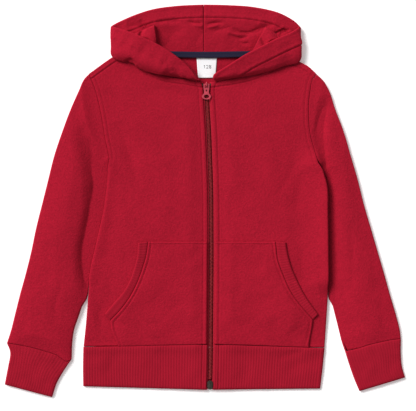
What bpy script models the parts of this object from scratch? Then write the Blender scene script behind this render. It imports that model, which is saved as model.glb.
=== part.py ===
"""A child's zip-up hoodie laid flat on its back, front up, sleeves down beside the body.

All sizes are in millimetres until a mesh is made, then metres. X runs across the garment, Y from the
hem (low) to the hood (high), Z up from the surface it lies on. Left pieces are those at -X.
Cloth pieces are walls lofted between sections; neighbours stay SEAM_GAP or more apart.
"""
import math

import bmesh
import bpy
import numpy as np

MM = 0.001
SEAM_GAP = 0.3        # air between neighbouring pieces
LAID_GAP = 0.5        # air under what lies on a curved panel
FLEECE = 2.0          # body, sleeve, hood and pocket cloth
RIB_WALL = 2.2        # rib knit between its grooves
RIB_RISE = 0.4        # how far a rib stands out of the rib knit
TAPE_WALL = 0.8       # zip tapes and the neck tape
LABEL_WALL = 0.5
EDGE_ROUND = 0.5      # how far a cut edge rounds out in the middle of its thickness
SEAM_INSET = EDGE_ROUND + 0.5 * SEAM_GAP + 0.05   # from a seam line to the flat of either neighbour
FRONT_BASE = FLEECE + SEAM_GAP                    # underside of the front panels at their seams
ZIP_LIFT = 1.4        # the front panels climb this much onto the zip tapes
ZIP_LIFT_FLAT = 16.5  # over the tapes
ZIP_LIFT_REACH = 62.0
FRONT_CROWN = 1.6     # slack of the front panels between zip and side
FRONT_HALF = 175.0    # zip to side, over which that slack is spread
FRONT_LOW = -219.0    # hem seam
FRONT_HIGH = 192.0    # neck seam
ZIP_HALF_OPEN = 4.9   # zip centre line to either fabric edge
ZIP_FLARE = 3.4       # how much further apart the fabric edges are at the top of the zip
ZIP_FLARE_REACH = 12.0
ZIP_TOP = 178.5
TAPE_HALF_WIDTH = 15.0
TAPE_BASE = FLEECE + 0.6
TAPE_LOW = -283.0
TAPE_TOP = 178.0
CHAIN_HALF_WIDTH = 2.6
CHAIN_HEIGHT = 2.6
CHAIN_BASE = FLEECE + 0.4
CHAIN_LOW = -268.0
CHAIN_TOP = 163.4
CHAIN_ROUND = 0.35    # how far the chain's sides round out
CHAIN_CLEAR = 0.7     # chain's flat side to either tape
SLIDER_Y = 170.6
SLIDER_LENGTH = 12.0
SLIDER_HALF_WIDTH = 4.1
SLIDER_BASE = FLEECE + 0.6
SLIDER_TOP = 6.3
SLIDER_BEVEL = 0.5
SLIDER_CLEAR = 0.9    # tape to slider
HINGE_Y = 174.4
HINGE_Z = 7.75
BAIL_ROD = 2.2        # thickness of the bail
BAIL_REACH = 2.9      # from the hinge axis to the middle of the bail's legs
BAIL_CLEAR = 0.4      # pull tab to bail, above the tab
BAIL_ROOT = 0.8       # how deep the bail's legs are sunk in the slider
PULL_THICKNESS = 1.2
PULL_LENGTH = 23.8
PULL_BEVEL = 0.2
PULL_HEAD = 1.2       # pull tab beyond its hinge axis
PULL_HALF_WIDTHS = (4.4, 4.6, 4.5, 3.6, 4.0)      # head, arms, foot of the arms, waist, neck of the ring
PULL_RING = (7.0, 4.6)                            # half width and half height of the ring
PULL_WINDOW = ((-2.2, -0.7), (2.2, -0.7), (2.4, -5.2), (-2.4, -5.2))
PULL_EYE = (-9.2, 1.2, 1.4)                       # y, half width, half height of the small hole
PULL_HOLE = (3.7, 2.7)                            # half width and half height of the ring's hole
STOP_Y = (172.5, 176.1)
STOP_HALF_WIDTH = 1.1
STOP_TOP = 5.4
STOP_FROM_SLIDER = 1.9                            # slider's side to the middle of a top stop
BOX_Y = -276.2
BOX_HALF_WIDTH = 4.3
BOX_HALF_LENGTH = 7.0
BOX_TOP = 6.4
BOX_FULLNESS = 1.25                               # how square the box's oval is
SLEEVE_EDGE_HEIGHT = 5.0
SLEEVE_CROWN = 2.2
CUFF_EDGE_HEIGHT = 5.2
CUFF_CROWN = 1.0
RIB_PITCH = 4.1
CUFF_RIBS = 20
BINDING_RIBS = 32
TUBE_CORNER = ((0.0, 0.5), (0.7, 0.84), (2.6, 1.0))   # rounding of a flat tube: distance in, share of height
HEM_CROWN = 0.35      # waistband's rise half way down
HEM_FRONT_GAP = 0.5   # waistband's front above the level of the front panels' underside
HEM_TURN = 2.6        # how far in from the side the waistband's fold starts
POCKET_LOW = -214.2
POCKET_HIGH = -61.0
POCKET_FROM_ZIP = 0.9     # pocket's edge back from the front panel's edge
HOOD_HALF_WALL = 0.5 * FLEECE
HOOD_SEAM_LIFT = 0.15     # extra air under the hood's neck seam
SLACK_BASE = 7.3      # underside of the slack hood cloth bunched under each flap

# zip centre line: y, x
ZIP_LINE = (
    (-284.0, 7.8), (-240.0, 8.8), (-164.0, 9.5), (-74.0, 10.0), (-29.0, 9.8),
    (16.0, 9.5), (61.0, 8.0), (106.0, 6.2), (151.0, 3.5), (180.0, 2.4),
)

# body outline, x, y, from hem seam up to the armpit
SIDE_LEFT = (
    (-181.8, -218.9), (-177.3, -175.7), (-174.5, -138.2), (-172.0, -109.7),
    (-163.0, -67.7), (-151.0, -13.7), (-145.0, 31.3), (-143.2, 64.3),
)
SIDE_RIGHT = (
    (179.9, -220.5), (182.7, -175.7), (185.0, -138.2), (185.0, -73.7),
    (184.2, -13.7), (183.5, 20.0), (177.5, 44.8), (169.8, 57.5),
)
# armhole seam, x, y, from the armpit up to the shoulder tip
ARMHOLE_LEFT = (
    (-143.2, 64.3), (-150.3, 98.8), (-153.8, 121.3), (-158.1, 142.9), (-164.7, 168.2), (-173.6, 190.6),
)
ARMHOLE_RIGHT = (
    (169.8, 57.5), (164.7, 75.8), (160.2, 90.8), (156.8, 110.3), (155.6, 130.9),
    (158.0, 165.4), (161.3, 180.2), (167.6, 190.4),
)
# neck seam of each front, x, y, from the zip up to the neck end of the shoulder seam
NECK_LEFT = (
    (-6.0, 178.5), (-22.0, 181.8), (-40.0, 184.3), (-61.0, 188.0),
    (-80.5, 197.0), (-95.5, 210.5), (-106.0, 224.0), (-111.5, 231.5),
)
NECK_RIGHT = (
    (10.8, 178.5), (24.5, 180.3), (47.0, 184.0), (68.0, 189.0),
    (89.0, 198.0), (104.0, 210.5), (111.5, 222.0), (114.5, 229.3),
)
SHOULDER_LEFT = ((-111.5, 231.5), (-139.5, 215.0), (-173.6, 190.6))
SHOULDER_RIGHT = ((114.5, 229.3), (143.0, 208.6), (154.5, 202.3), (167.6, 190.4))
NECK_BACK = ((-111.5, 231.5), (-60.0, 222.0), (-1.0, 219.5), (60.0, 221.5), (114.5, 229.3))
# hem seam, x, y, from each side to the zip
HEM_SEAM_LEFT = ((-181.8, -218.9), (-120.0, -218.0), (-60.0, -216.4), (3.9, -215.0))
HEM_SEAM_RIGHT = ((179.9, -220.5), (120.0, -218.6), (60.0, -216.2), (13.8, -215.0))
HEM_SEAM_BACK = ((-181.8, -218.9), (-60.0, -219.5), (60.0, -219.8), (179.9, -220.5))

# hem rib outline: y at the left side, y at the left of the zip, y at the right of the zip,
# y at the right side, x of the left side, x of the right side
HEM_RIB_ROWS = (
    (-219.4, -215.5, -215.5, -221.0, -181.9, 179.8),
    (-249.0, -249.5, -249.0, -251.0, -182.5, 176.8),
    (-278.4, -283.6, -283.4, -281.8, -182.2, 173.2),
)

# outer and inner edge of each sleeve, x, y, from the armhole to the cuff seam
SLEEVE_LEFT_OUTER = (
    (-174.2, 190.6), (-181.1, 182.8), (-188.6, 166.3), (-200.6, 139.3), (-214.1, 103.3), (-226.1, 67.3),
    (-235.1, 31.3), (-244.1, -4.7), (-253.1, -40.7), (-260.6, -76.7), (-269.6, -112.7),
    (-277.1, -139.7), (-286.1, -175.7), (-290.6, -193.7), (-296.9, -213.4),
)
SLEEVE_LEFT_INNER = (
    (-143.8, 64.0), (-146.4, 31.3), (-152.4, -13.7), (-164.4, -67.7), (-173.4, -109.7),
    (-178.6, -139.7), (-184.1, -157.7), (-190.1, -175.7), (-196.1, -193.7), (-198.8, -211.7),
    (-200.0, -238.0),
)
SLEEVE_RIGHT_OUTER = (
    (168.2, 190.4), (177.5, 181.4), (186.5, 166.3), (195.5, 139.3), (209.0, 103.3), (219.5, 67.3),
    (230.0, 31.3), (239.0, -4.7), (249.5, -40.7), (260.0, -76.7), (270.5, -112.7),
    (278.0, -139.7), (288.5, -175.7), (293.2, -195.0), (294.6, -207.0),
)
SLEEVE_RIGHT_INNER = (
    (170.5, 57.8), (178.6, 45.4), (184.9, 20.0), (186.4, -13.7), (186.9, -73.7), (187.2, -126.0),
    (188.4, -139.7), (192.5, -157.7), (197.0, -175.7), (201.5, -193.7), (206.0, -211.7), (210.8, -225.9),
)
# cuff seam, x, y, from the sleeve's inner edge to its outer edge
CUFF_SEAM_LEFT = (
    (-200.0, -238.0), (-204.5, -240.4), (-222.9, -230.7), (-238.2, -226.0), (-257.3, -220.6),
    (-276.5, -216.4), (-296.9, -213.4),
)
CUFF_SEAM_RIGHT = (
    (210.8, -225.9), (231.3, -220.8), (249.3, -215.2), (267.2, -211.2), (281.6, -208.3), (294.6, -207.0),
)
# cuff rows from seam to opening: inner x, y, outer x, y
CUFF_LEFT_ROWS = (
    (-203.0, -240.6, -295.6, -215.5), (-213.0, -256.0, -291.3, -230.0), (-222.4, -274.0, -295.9, -253.0),
    (-229.1, -294.5, -300.2, -275.6),
)
CUFF_RIGHT_ROWS = (
    (211.6, -227.6, 294.2, -208.5), (217.6, -247.0, 294.2, -228.0), (224.5, -267.0, 296.0, -248.0),
    (232.4, -285.6, 300.8, -265.0),
)

# pocket rib seam and outer edge, x, y, from the pocket top down; then the pocket's side to the hem seam
POCKET_SEAM_LEFT = (
    (-84.8, -61.0), (-88.1, -83.2), (-94.1, -103.6), (-102.3, -125.0), (-113.1, -145.4),
    (-127.5, -164.5), (-141.8, -179.5),
)
BINDING_EDGE_LEFT = (
    (-99.9, -62.4), (-101.7, -84.4), (-105.9, -101.2), (-112.5, -119.0), (-122.7, -137.0),
    (-135.9, -152.4), (-150.4, -169.5),
)
POCKET_SIDE_LEFT = ((-141.8, -179.5), (-140.1, -193.3), (-134.1, -208.7), (-129.9, -217.0))
POCKET_SEAM_RIGHT = (
    (106.4, -61.0), (110.0, -89.2), (117.6, -110.6), (128.4, -134.6), (140.4, -152.5),
    (152.3, -166.5), (162.5, -178.0),
)
BINDING_EDGE_RIGHT = (
    (121.8, -62.4), (124.2, -77.2), (129.6, -97.6), (139.2, -120.2), (151.2, -142.9),
    (161.9, -158.5), (170.4, -169.8),
)
POCKET_SIDE_RIGHT = ((162.5, -178.0), (160.8, -192.0), (158.2, -205.0), (155.9, -216.6))

# hood sections from the zip round to the centre seam: neck seam x, y; under layer; lower or side fold;
# upper layer; face opening edge, each x, y, z of the middle of the cloth
HOOD_LEFT = (
    ("zip end", (-12.0, 178.6), (-11.5, 179.8, 7.6), (-11.0, 180.8, 8.2), (-9.0, 181.8, 8.8),
     (-7.0, 182.4, 9.0)),
    ("by zip", (-22.0, 182.4), (-22.9, 184.3, 7.7), (-24.0, 186.6, 9.2), (-20.0, 188.4, 12.0),
     (-13.5, 189.4, 12.8)),
    ("lower", (-40.0, 185.0), (-41.6, 187.8, 7.5), (-43.4, 191.6, 9.4), (-38.5, 200.0, 14.0),
     (-27.5, 204.5, 14.5)),
    ("middle", (-61.0, 188.6), (-63.6, 190.8, 7.3), (-66.5, 194.3, 9.6), (-61.0, 208.5, 15.5),
     (-50.0, 222.0, 16.0)),
    ("upper", (-80.5, 197.6), (-84.9, 198.7, 7.0), (-89.2, 201.3, 9.4), (-83.5, 219.0, 16.0),
     (-72.5, 235.5, 17.0)),
    ("over shoulder", (-95.5, 211.0), (-104.5, 209.0, 6.2), (-111.5, 211.0, 8.9),
     (-105.5, 228.5, 16.0),
     (-95.5, 246.0, 17.0)),
    ("side low", (-106.0, 224.0), (-122.5, 216.0, 5.9), (-135.5, 215.5, 8.4), (-128.5, 235.5, 13.0),
     (-118.0, 255.0, 13.5)),
    ("side fold", (-110.5, 231.0), (-128.5, 227.0, 5.8), (-139.6, 226.5, 8.0), (-139.6, 244.5, 8.8),
     (-137.0, 261.0, 9.2)),
    ("corner", (-109.0, 233.0), (-122.5, 240.0, 5.2), (-131.0, 250.5, 5.2), (-137.5, 257.0, 5.0),
     (-138.5, 263.0, 5.2)),
    ("top 1", (-97.0, 229.5), (-103.0, 235.5, 5.0), (-110.5, 244.5, 5.6), (-116.5, 252.5, 5.4),
     (-125.5, 270.0, 4.6)),
    ("top 2", (-76.0, 225.5), (-80.5, 234.0, 4.7), (-86.5, 244.5, 5.9), (-95.5, 260.5, 5.8),
     (-101.5, 280.0, 4.4)),
    ("top 3", (-50.5, 222.0), (-55.0, 232.5, 4.6), (-62.5, 247.5, 5.9), (-71.5, 267.0, 5.9),
     (-74.5, 288.0, 4.4)),
    ("top 4", (-25.0, 220.5), (-26.5, 232.5, 4.6), (-31.0, 250.5, 5.9), (-37.0, 271.5, 5.9),
     (-40.0, 292.5, 4.4)),
    ("centre seam", (-2.1, 219.5), (-2.1, 231.0, 4.6), (-2.1, 250.5, 5.9), (-2.1, 274.5, 5.9),
     (-2.1, 294.3, 4.4)),
)
HOOD_RIGHT = (
    ("zip end", (16.0, 178.0), (15.8, 179.4, 7.4), (15.4, 180.6, 8.2), (13.6, 182.2, 8.8),
     (12.0, 183.4, 9.0)),
    ("by zip", (24.5, 180.9), (24.5, 182.7, 7.6), (24.5, 184.9, 9.2), (20.5, 188.2, 11.5),
     (15.5, 190.8, 12.0)),
    ("lower", (47.0, 184.6), (49.6, 185.8, 7.3), (53.0, 187.9, 9.5), (47.0, 199.5, 14.5),
     (38.0, 205.0, 15.0)),
    ("middle", (68.0, 189.4), (72.4, 189.0, 7.0), (77.0, 190.8, 9.6), (71.0, 207.5, 16.0),
     (60.5, 219.0, 17.0)),
    ("upper", (89.0, 198.4), (94.6, 194.6, 6.4), (99.5, 195.9, 9.2), (95.0, 216.0, 16.0),
     (83.0, 230.5, 17.0)),
    ("over shoulder", (104.0, 210.5), (113.0, 202.7, 6.1), (122.0, 203.5, 8.9),
     (119.0, 225.0, 14.5),
     (106.5, 242.5, 15.0)),
    ("side low", (111.5, 222.0), (128.0, 209.0, 5.9), (141.5, 209.5, 8.4), (140.0, 232.5, 12.0),
     (125.0, 250.5, 12.5)),
    ("side fold", (113.5, 228.5), (132.5, 224.5, 5.8), (143.6, 224.5, 8.0), (143.0, 243.5, 8.8),
     (140.5, 259.5, 9.2)),
    ("corner", (112.5, 231.0), (125.0, 237.5, 5.2), (134.5, 249.0, 5.2), (140.5, 255.0, 5.0),
     (142.5, 261.5, 5.2)),
    ("top 1", (99.5, 228.5), (107.0, 234.0, 5.0), (114.5, 243.5, 5.6), (121.0, 253.5, 5.4),
     (131.0, 272.0, 4.6)),
    ("top 2", (75.5, 224.5), (81.5, 231.5, 4.7), (89.5, 244.5, 5.9), (98.5, 262.5, 5.8),
     (107.0, 283.5, 4.4)),
    ("top 3", (47.0, 221.0), (51.5, 232.5, 4.6), (59.5, 248.0, 5.9), (66.5, 268.5, 5.9),
     (71.0, 291.0, 4.4)),
    ("top 4", (21.5, 220.0), (23.5, 232.5, 4.6), (28.0, 250.5, 5.9), (32.5, 272.0, 5.9),
     (35.0, 293.5, 4.4)),
    ("centre seam", (-0.9, 219.5), (-0.9, 231.0, 4.6), (-0.9, 250.5, 5.9), (-0.9, 274.5, 5.9),
     (-0.9, 294.3, 4.4)),
)
FLAP_ROWS = 8         # hood sections from the zip up to and with the side fold
FOLD_SHARE = (0.2, 0.6)   # past a fold the cloth has turned this share of the way: in plan, in height
HOOD_SAMPLES = 13     # points along a hood section
HOOD_UNDER = 5        # of them up to the fold
HOOD_SUBROWS = 2      # rows per hood section
# slack under each flap: first and last hood section, section at the peak, its spread in sections, peak reach
SLACK_LEFT = (2.3, 5.7, 4.35, 0.62, 27.0)
SLACK_RIGHT = (2.3, 5.55, 4.55, 0.68, 25.0)

SLACK_SHARES = (0.28, 0.5, 0.72, 0.9)             # where its rows lie between the flap's fold and edge
SLACK_PAST = (0.35, 0.7, 1.0)                     # further rows, as shares of its peak's reach
SLACK_ROWS = 15
SLACK_BACK_TILT = 1.0     # how much lower its last row is than the flap's edge
SLACK_PEAK_DROP = 2.6     # and how much more so at its peak
SLACK_AIR = 0.35
CROWN_ROWS = 8
CROWN_COLUMNS = 7
CROWN_FROM_NECK = 6.0
CROWN_FROM_EDGE = 2.0
CROWN_AIR = 0.25

NECK_TAPE = ((-60.0, 215.4), (-1.0, 214.6), (70.0, 215.6))
NECK_TAPE_WIDTH = 9.0
NECK_TAPE_BASE = 5.1
LABEL_CORNERS = ((-12.4, 215.6), (18.6, 215.4), (16.4, 184.6), (-10.2, 184.4))

# soft folds pressed into the top surfaces: x, y of one end, x, y of the other, half width, rise
FOLDS = (
    (-168.0, 96.0, -175.0, -20.0, 8.0, -1.3),
    (-175.0, -20.0, -184.0, -115.0, 7.0, -1.5),
    (-122.0, 100.0, -96.0, 12.0, 14.0, -0.7),
    (-160.0, 120.0, -146.0, 0.0, 8.0, 0.5),
    (172.0, 130.0, 176.0, 66.0, 7.0, -1.5),
    (196.0, 60.0, 214.0, -60.0, 12.0, 0.5),
    (-88.0, 178.0, -28.0, 168.0, 7.0, -0.6),
    (40.0, 176.0, 92.0, 184.0, 6.0, -0.6),
    (-12.0, -122.0, -92.0, -176.0, 13.0, -0.6),
    (36.0, 24.0, 40.0, -36.0, 6.0, -0.3),
)


def smooth_line(points, count, steps=16):
    """Passes a smooth curve through the points (cubic pieces whose end slopes are weighted by the spans
    either side) and returns `count` evenly spaced points of it."""
    p = np.array(points, float)
    if len(p) == 2:
        return p[0] + (p[1] - p[0]) * np.linspace(0.0, 1.0, count)[:, None]
    span = np.linalg.norm(np.diff(p, axis=0), axis=1)
    slope = np.diff(p, axis=0) / span[:, None]
    tangent = np.empty_like(p)
    tangent[0], tangent[-1] = slope[0], slope[-1]
    before, after = span[:-1, None], span[1:, None]
    tangent[1:-1] = (slope[:-1] * after + slope[1:] * before) / (before + after)
    t = np.linspace(0.0, 1.0, steps, endpoint=False)[None, :, None]
    a, b = p[:-1, None], p[1:, None]
    da, db = tangent[:-1, None] * span[:, None, None], tangent[1:, None] * span[:, None, None]
    pieces = (a * (2 * t**3 - 3 * t**2 + 1) + da * (t**3 - 2 * t**2 + t)
              + b * (3 * t**2 - 2 * t**3) + db * (t**3 - t**2))
    fine = np.vstack((pieces.reshape(-1, p.shape[1]), p[-1:]))
    along = np.concatenate(([0.0], np.cumsum(np.linalg.norm(np.diff(fine, axis=0), axis=1))))
    wanted = np.linspace(0.0, along[-1], count)
    return np.stack([np.interp(wanted, along, fine[:, k]) for k in range(p.shape[1])], axis=1)


def zip_x(y):
    """X of the zip's centre line at height y of the garment."""
    line = np.array(ZIP_LINE)
    fine = smooth_line(line, 120)
    return np.interp(y, fine[:, 0], fine[:, 1])


def zip_half_open(y):
    """Zip centre line to the fabric edge: constant, flaring in the last few millimetres at the top."""
    return ZIP_HALF_OPEN + ZIP_FLARE * np.clip((y - ZIP_TOP + ZIP_FLARE_REACH) / ZIP_FLARE_REACH, 0, 1) ** 2


def folds(x, y):
    """Sum of the soft folds: each is highest on its line, fading as a bell to both sides and its ends."""
    total = np.zeros_like(np.asarray(x, float))
    for x0, y0, x1, y1, half_width, rise in FOLDS:
        dx, dy = x1 - x0, y1 - y0
        length = math.hypot(dx, dy)
        along = ((x - x0) * dx + (y - y0) * dy) / length
        off = ((x - x0) * dy - (y - y0) * dx) / length
        past = np.maximum(np.maximum(-along, along - length), 0.0)
        total = total + rise * np.exp(-(off / half_width) ** 2 - (past / (1.5 * half_width)) ** 2)
    return total


def front_low(x, y):
    """Underside of the front panels: their seam height, a climb onto the zip tapes, and the slack
    between zip and side as half a sine wave each way, with the soft folds on it."""
    d = np.abs(x - zip_x(y))
    fall = np.clip((d - ZIP_LIFT_FLAT) / (ZIP_LIFT_REACH - ZIP_LIFT_FLAT), 0, 1)
    climb = ZIP_LIFT * (0.5 + 0.5 * np.cos(np.pi * fall))
    across = np.sin(np.pi * np.clip(d / FRONT_HALF, 0, 1))
    down = np.sin(np.pi * np.clip((y - FRONT_LOW) / (FRONT_HIGH - FRONT_LOW), 0, 1)) ** 0.5
    return FRONT_BASE + climb + (FRONT_CROWN + folds(x, y)) * across * down


def at_height(plan, height):
    """Adds a height to plan points."""
    return np.concatenate((plan, np.broadcast_to(height, plan.shape[:-1])[..., None]), axis=-1)


def panel_grid(bottom, top, inner, outer):
    """Grid filled between four edge lines: the two ruled surfaces less the bilinear one."""
    u = np.linspace(0.0, 1.0, len(bottom))[None, :, None]
    v = np.linspace(0.0, 1.0, len(inner))[:, None, None]
    corners = ((1 - u) * (1 - v) * bottom[0] + u * (1 - v) * bottom[-1]
               + (1 - u) * v * top[0] + u * v * top[-1])
    return (1 - u) * inner[:, None] + u * outer[:, None] + (1 - v) * bottom[None] + v * top[None] - corners


def shrink_grid(plan, distance):
    """Draws a plan grid's border in by a distance, so that rounded edges and the seam gap fit outside."""
    out = plan.copy()
    for axis in (0, 1):
        for end, step in ((0, 1), (-1, -1)):
            rim = plan[end] if axis == 0 else plan[:, end]
            run = np.gradient(rim, axis=0)
            run /= np.linalg.norm(run, axis=1)[:, None]
            normal = np.stack((-run[:, 1], run[:, 0]), axis=1)
            inward = (plan[end + step] if axis == 0 else plan[:, end + step]) - rim
            side = np.sign(np.sum(np.sum(normal * inward, axis=1)))
            if axis == 0:
                out[end] += side * distance * normal
            else:
                out[:, end] += side * distance * normal
    return out


def material(name, colour, roughness, metallic=0.0):
    """A plain material of one colour."""
    made = bpy.data.materials.new(name)
    made.use_nodes = True
    shader = made.node_tree.nodes["Principled BSDF"]
    shader.inputs["Base Color"].default_value = (*colour, 1.0)
    shader.inputs["Roughness"].default_value = roughness
    shader.inputs["Metallic"].default_value = metallic
    made.diffuse_color = (*colour, 1.0)
    return made


def volume_of(points, faces):
    """Six times the enclosed volume, from fans of each face."""
    total = 0.0
    for face in faces:
        corner = points[list(face)]
        for k in range(1, len(face) - 1):
            total += np.dot(corner[0], np.cross(corner[k], corner[k + 1]))
    return total


def solid(name, points, faces, surface):
    """Makes a mesh object from points in millimetres, its faces turned outward."""
    if volume_of(points, faces) < 0:
        faces = [tuple(reversed(face)) for face in faces]
    mesh = bpy.data.meshes.new(name)
    mesh.from_pydata((points * MM).tolist(), [], faces)
    mesh.validate()
    mesh.materials.append(surface)
    mesh.polygons.foreach_set("use_smooth", [True] * len(mesh.polygons))
    made = bpy.data.objects.new(name, mesh)
    hoodie.objects.link(made)
    return made


def quads(a, b, closed):
    """Quads between two rows of point numbers."""
    last = len(a) if closed else len(a) - 1
    return [(a[k], a[(k + 1) % len(a)], b[(k + 1) % len(a)], b[k]) for k in range(last)]


def wall(name, low, high, surface, rim=((0.5, EDGE_ROUND),)):
    """A cloth wall between a grid of lower and a grid of upper points. Round its border run the rim
    levels, each a share of the thickness and how far it stands out past the grids' border."""
    rows, columns = low.shape[:2]
    border = ([(0, j) for j in range(columns - 1)] + [(i, columns - 1) for i in range(rows - 1)]
              + [(rows - 1, j) for j in range(columns - 1, 0, -1)] + [(i, 0) for i in range(rows - 1, 0, -1)])
    i, j = np.array(border).T
    back_i = np.where(i == 0, 1, np.where(i == rows - 1, rows - 2, i))
    back_j = np.where(j == 0, 1, np.where(j == columns - 1, columns - 2, j))
    middle = 0.5 * (low + high)
    out = middle[i, j] - middle[back_i, back_j]
    out /= np.linalg.norm(out, axis=1)[:, None]
    corner = ((i == 0) | (i == rows - 1)) & ((j == 0) | (j == columns - 1))
    reach = np.where(corner, 1.2, 1.0)[:, None]
    points = [low.reshape(-1, 3), high.reshape(-1, 3)]
    number = np.arange(rows * columns).reshape(rows, columns)
    levels = [number[i, j]]
    for k, (share, stand) in enumerate(rim):
        points.append(low[i, j] * (1 - share) + high[i, j] * share + reach * stand * out)
        levels.append(2 * rows * columns + k * len(i) + np.arange(len(i)))
    levels.append(number[i, j] + rows * columns)
    faces = []
    for r in range(rows - 1):
        faces += [face[::-1] for face in quads(number[r], number[r + 1], False)]
        faces += quads(number[r] + rows * columns, number[r + 1] + rows * columns, False)
    for lower, upper in zip(levels[:-1], levels[1:]):
        faces += quads(lower, upper, True)
    faces = [tuple(int(n) for n in face) for face in faces]
    return solid(name, np.vstack(points), faces, surface)


def tube(name, outer, inner, surface):
    """A cloth tube open at both ends, from its outer rings and inner rings."""
    rings = np.concatenate((outer, inner[::-1]))
    count, around = rings.shape[:2]
    number = np.arange(count * around).reshape(count, around)
    faces = []
    for r in range(count):
        faces += quads(number[r], number[(r + 1) % count], True)
    faces = [tuple(int(n) for n in face) for face in faces]
    return solid(name, rings.reshape(-1, 3), faces, surface)


def tube_ring(across, top, inset, stations, floor_count):
    """One ring of a flattened tube. `across` is its plan line from inner to outer edge, `top` gives the
    outer height there. The inner ring's corners are tighter; the underside is flat."""
    run = np.concatenate(([0.0], np.cumsum(np.linalg.norm(np.diff(across, axis=0), axis=1))))
    length = run[-1] - 2 * inset
    tightness = 1.0 if inset == 0 else 0.4
    edge = [(d * tightness, share) for d, share in TUBE_CORNER]
    reach = edge[-1][0]
    upper = ([(d, s) for d, s in edge] + [(reach + (length - 2 * reach) * t, 1.0) for t in stations[1:-1]]
             + [(length - d, s) for d, s in edge[::-1]])
    below = ([(length - d, 1 - s) for d, s in edge[1:]]
             + [(reach + (length - 2 * reach) * t, 0.0) for t in np.linspace(1, 0, floor_count + 2)[1:-1]]
             + [(d, 1 - s) for d, s in edge[:0:-1]])
    ring = np.array(upper + below)
    where = ring[:, 0] + inset
    plan = np.stack([np.interp(where, run, across[:, k]) for k in (0, 1)], axis=1)
    height = top(plan[:, 0], plan[:, 1], where / run[-1]) - 2 * inset
    return at_height(plan, inset + ring[:, 1] * height)


def tube_lines(inner, outer, first, last, count):
    """Plan lines of a tube's rings: straight from inner to outer edge, with the bow of the first seam
    fading over the first third and that of the last seam over the last sixth."""
    a, b = smooth_line(inner, count), smooth_line(outer, count)
    s = np.linspace(0.0, 1.0, 41)[:, None]
    bow_first = smooth_line(first, 41)
    bow_first = bow_first - (bow_first[0] + (bow_first[-1] - bow_first[0]) * s)
    bow_last = smooth_line(last, 41)
    bow_last = bow_last - (bow_last[0] + (bow_last[-1] - bow_last[0]) * s)
    lines = []
    for k in range(count):
        v = k / (count - 1)
        fade_first = max(0.0, 1 - 3 * v) ** 2
        fade_last = max(0.0, 6 * v - 5) ** 2
        lines.append(a[k] + (b[k] - a[k]) * s + fade_first * bow_first + fade_last * bow_last)
    return lines


def sleeve(name, inner, outer, armhole, cuff_seam, surface, count=14):
    """Sleeve: a flattened tube from the armhole to the cuff, crowned on top with its soft folds."""
    def top(x, y, s):
        crown = SLEEVE_CROWN * np.sin(np.pi * np.clip(s, 0, 1)) ** 0.7
        fade = np.sin(np.pi * np.clip(s, 0, 1)) ** 0.4
        return SLEEVE_EDGE_HEIGHT + np.clip(crown + folds(x, y) * fade, -0.4, 2.4)
    stations = np.linspace(0.0, 1.0, 10)
    lines = tube_lines(inner, outer, armhole, cuff_seam, count)
    rings = [np.array([tube_ring(line, top, inset, stations, 3) for line in lines])
             for inset in (0.0, FLEECE)]
    return tube(name, rings[0], rings[1], surface)


def cuff(name, rows, seam, surface):
    """Cuff: a flattened tube of rib knit, its ribs raised on the upper face over a plain inside."""
    stations = np.linspace(0.0, 1.0, 2 * CUFF_RIBS + 1)
    s = np.linspace(0.0, 1.0, 41)[:, None]
    bow = smooth_line(seam, 41)
    bow = bow - (bow[0] + (bow[-1] - bow[0]) * s)
    outer, inner = [], []
    for k, (x_in, y_in, x_out, y_out) in enumerate(rows):
        line = np.array((x_in, y_in)) + (np.array((x_out, y_out)) - np.array((x_in, y_in))) * s
        line = line + bow * max(0.0, 1 - 0.5 * k)
        crown = CUFF_CROWN * (1 - 0.25 * k)

        def top(x, y, share, crown=crown):
            return CUFF_EDGE_HEIGHT + crown * np.sin(np.pi * np.clip(share, 0, 1)) ** 0.7
        ring = tube_ring(line, top, 0.0, stations, 4)
        ring[len(TUBE_CORNER):len(TUBE_CORNER) + 2 * CUFF_RIBS - 1:2, 2] += RIB_RISE
        outer.append(ring)
        inner.append(tube_ring(line, top, RIB_WALL, stations, 4))
    return tube(name, np.array(outer), np.array(inner), surface)


def front_panel(name, hem, side, armhole, neck, shoulder, surface):
    """A front: its grid runs from the zip to the side seam and armhole, and from the hem seam to the
    neck and shoulder seams."""
    y = np.linspace(hem[-1][1], ZIP_TOP, 15)
    side_of_zip = np.sign(hem[0][0])
    inner = np.stack((zip_x(y) + side_of_zip * zip_half_open(y), y), axis=1)
    bottom = smooth_line(hem, 12)[::-1]
    bottom[0] = inner[0]
    outer = np.vstack((smooth_line(side, 8)[:-1], smooth_line(armhole, 8)))
    top = np.vstack((smooth_line(neck, 8)[:-1], smooth_line(shoulder, 5)))
    top[0] = inner[-1]
    plan = shrink_grid(panel_grid(bottom, top, inner, outer), SEAM_INSET)
    low = front_low(plan[..., 0], plan[..., 1])
    return wall(name, at_height(plan, low), at_height(plan, low + FLEECE), surface)


def back_panel(name, surface):
    """The back: flat where it rests, from the hem seam up to the shoulder seams and the back neck."""
    hem = smooth_line(HEM_SEAM_BACK, 13)
    left = np.vstack((smooth_line(SIDE_LEFT, 8)[:-1], smooth_line(ARMHOLE_LEFT, 8)))
    right = np.vstack((smooth_line(SIDE_RIGHT, 8)[:-1], smooth_line(ARMHOLE_RIGHT, 8)))
    top = np.vstack((smooth_line(SHOULDER_LEFT[::-1], 4)[:-1], smooth_line(NECK_BACK, 7)[:-1],
                     smooth_line(SHOULDER_RIGHT, 4)))
    plan = shrink_grid(panel_grid(hem, top, left, right), SEAM_INSET)
    return wall(name, at_height(plan, 0.0), at_height(plan, FLEECE), surface, rim=((0.4, EDGE_ROUND),))


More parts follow.
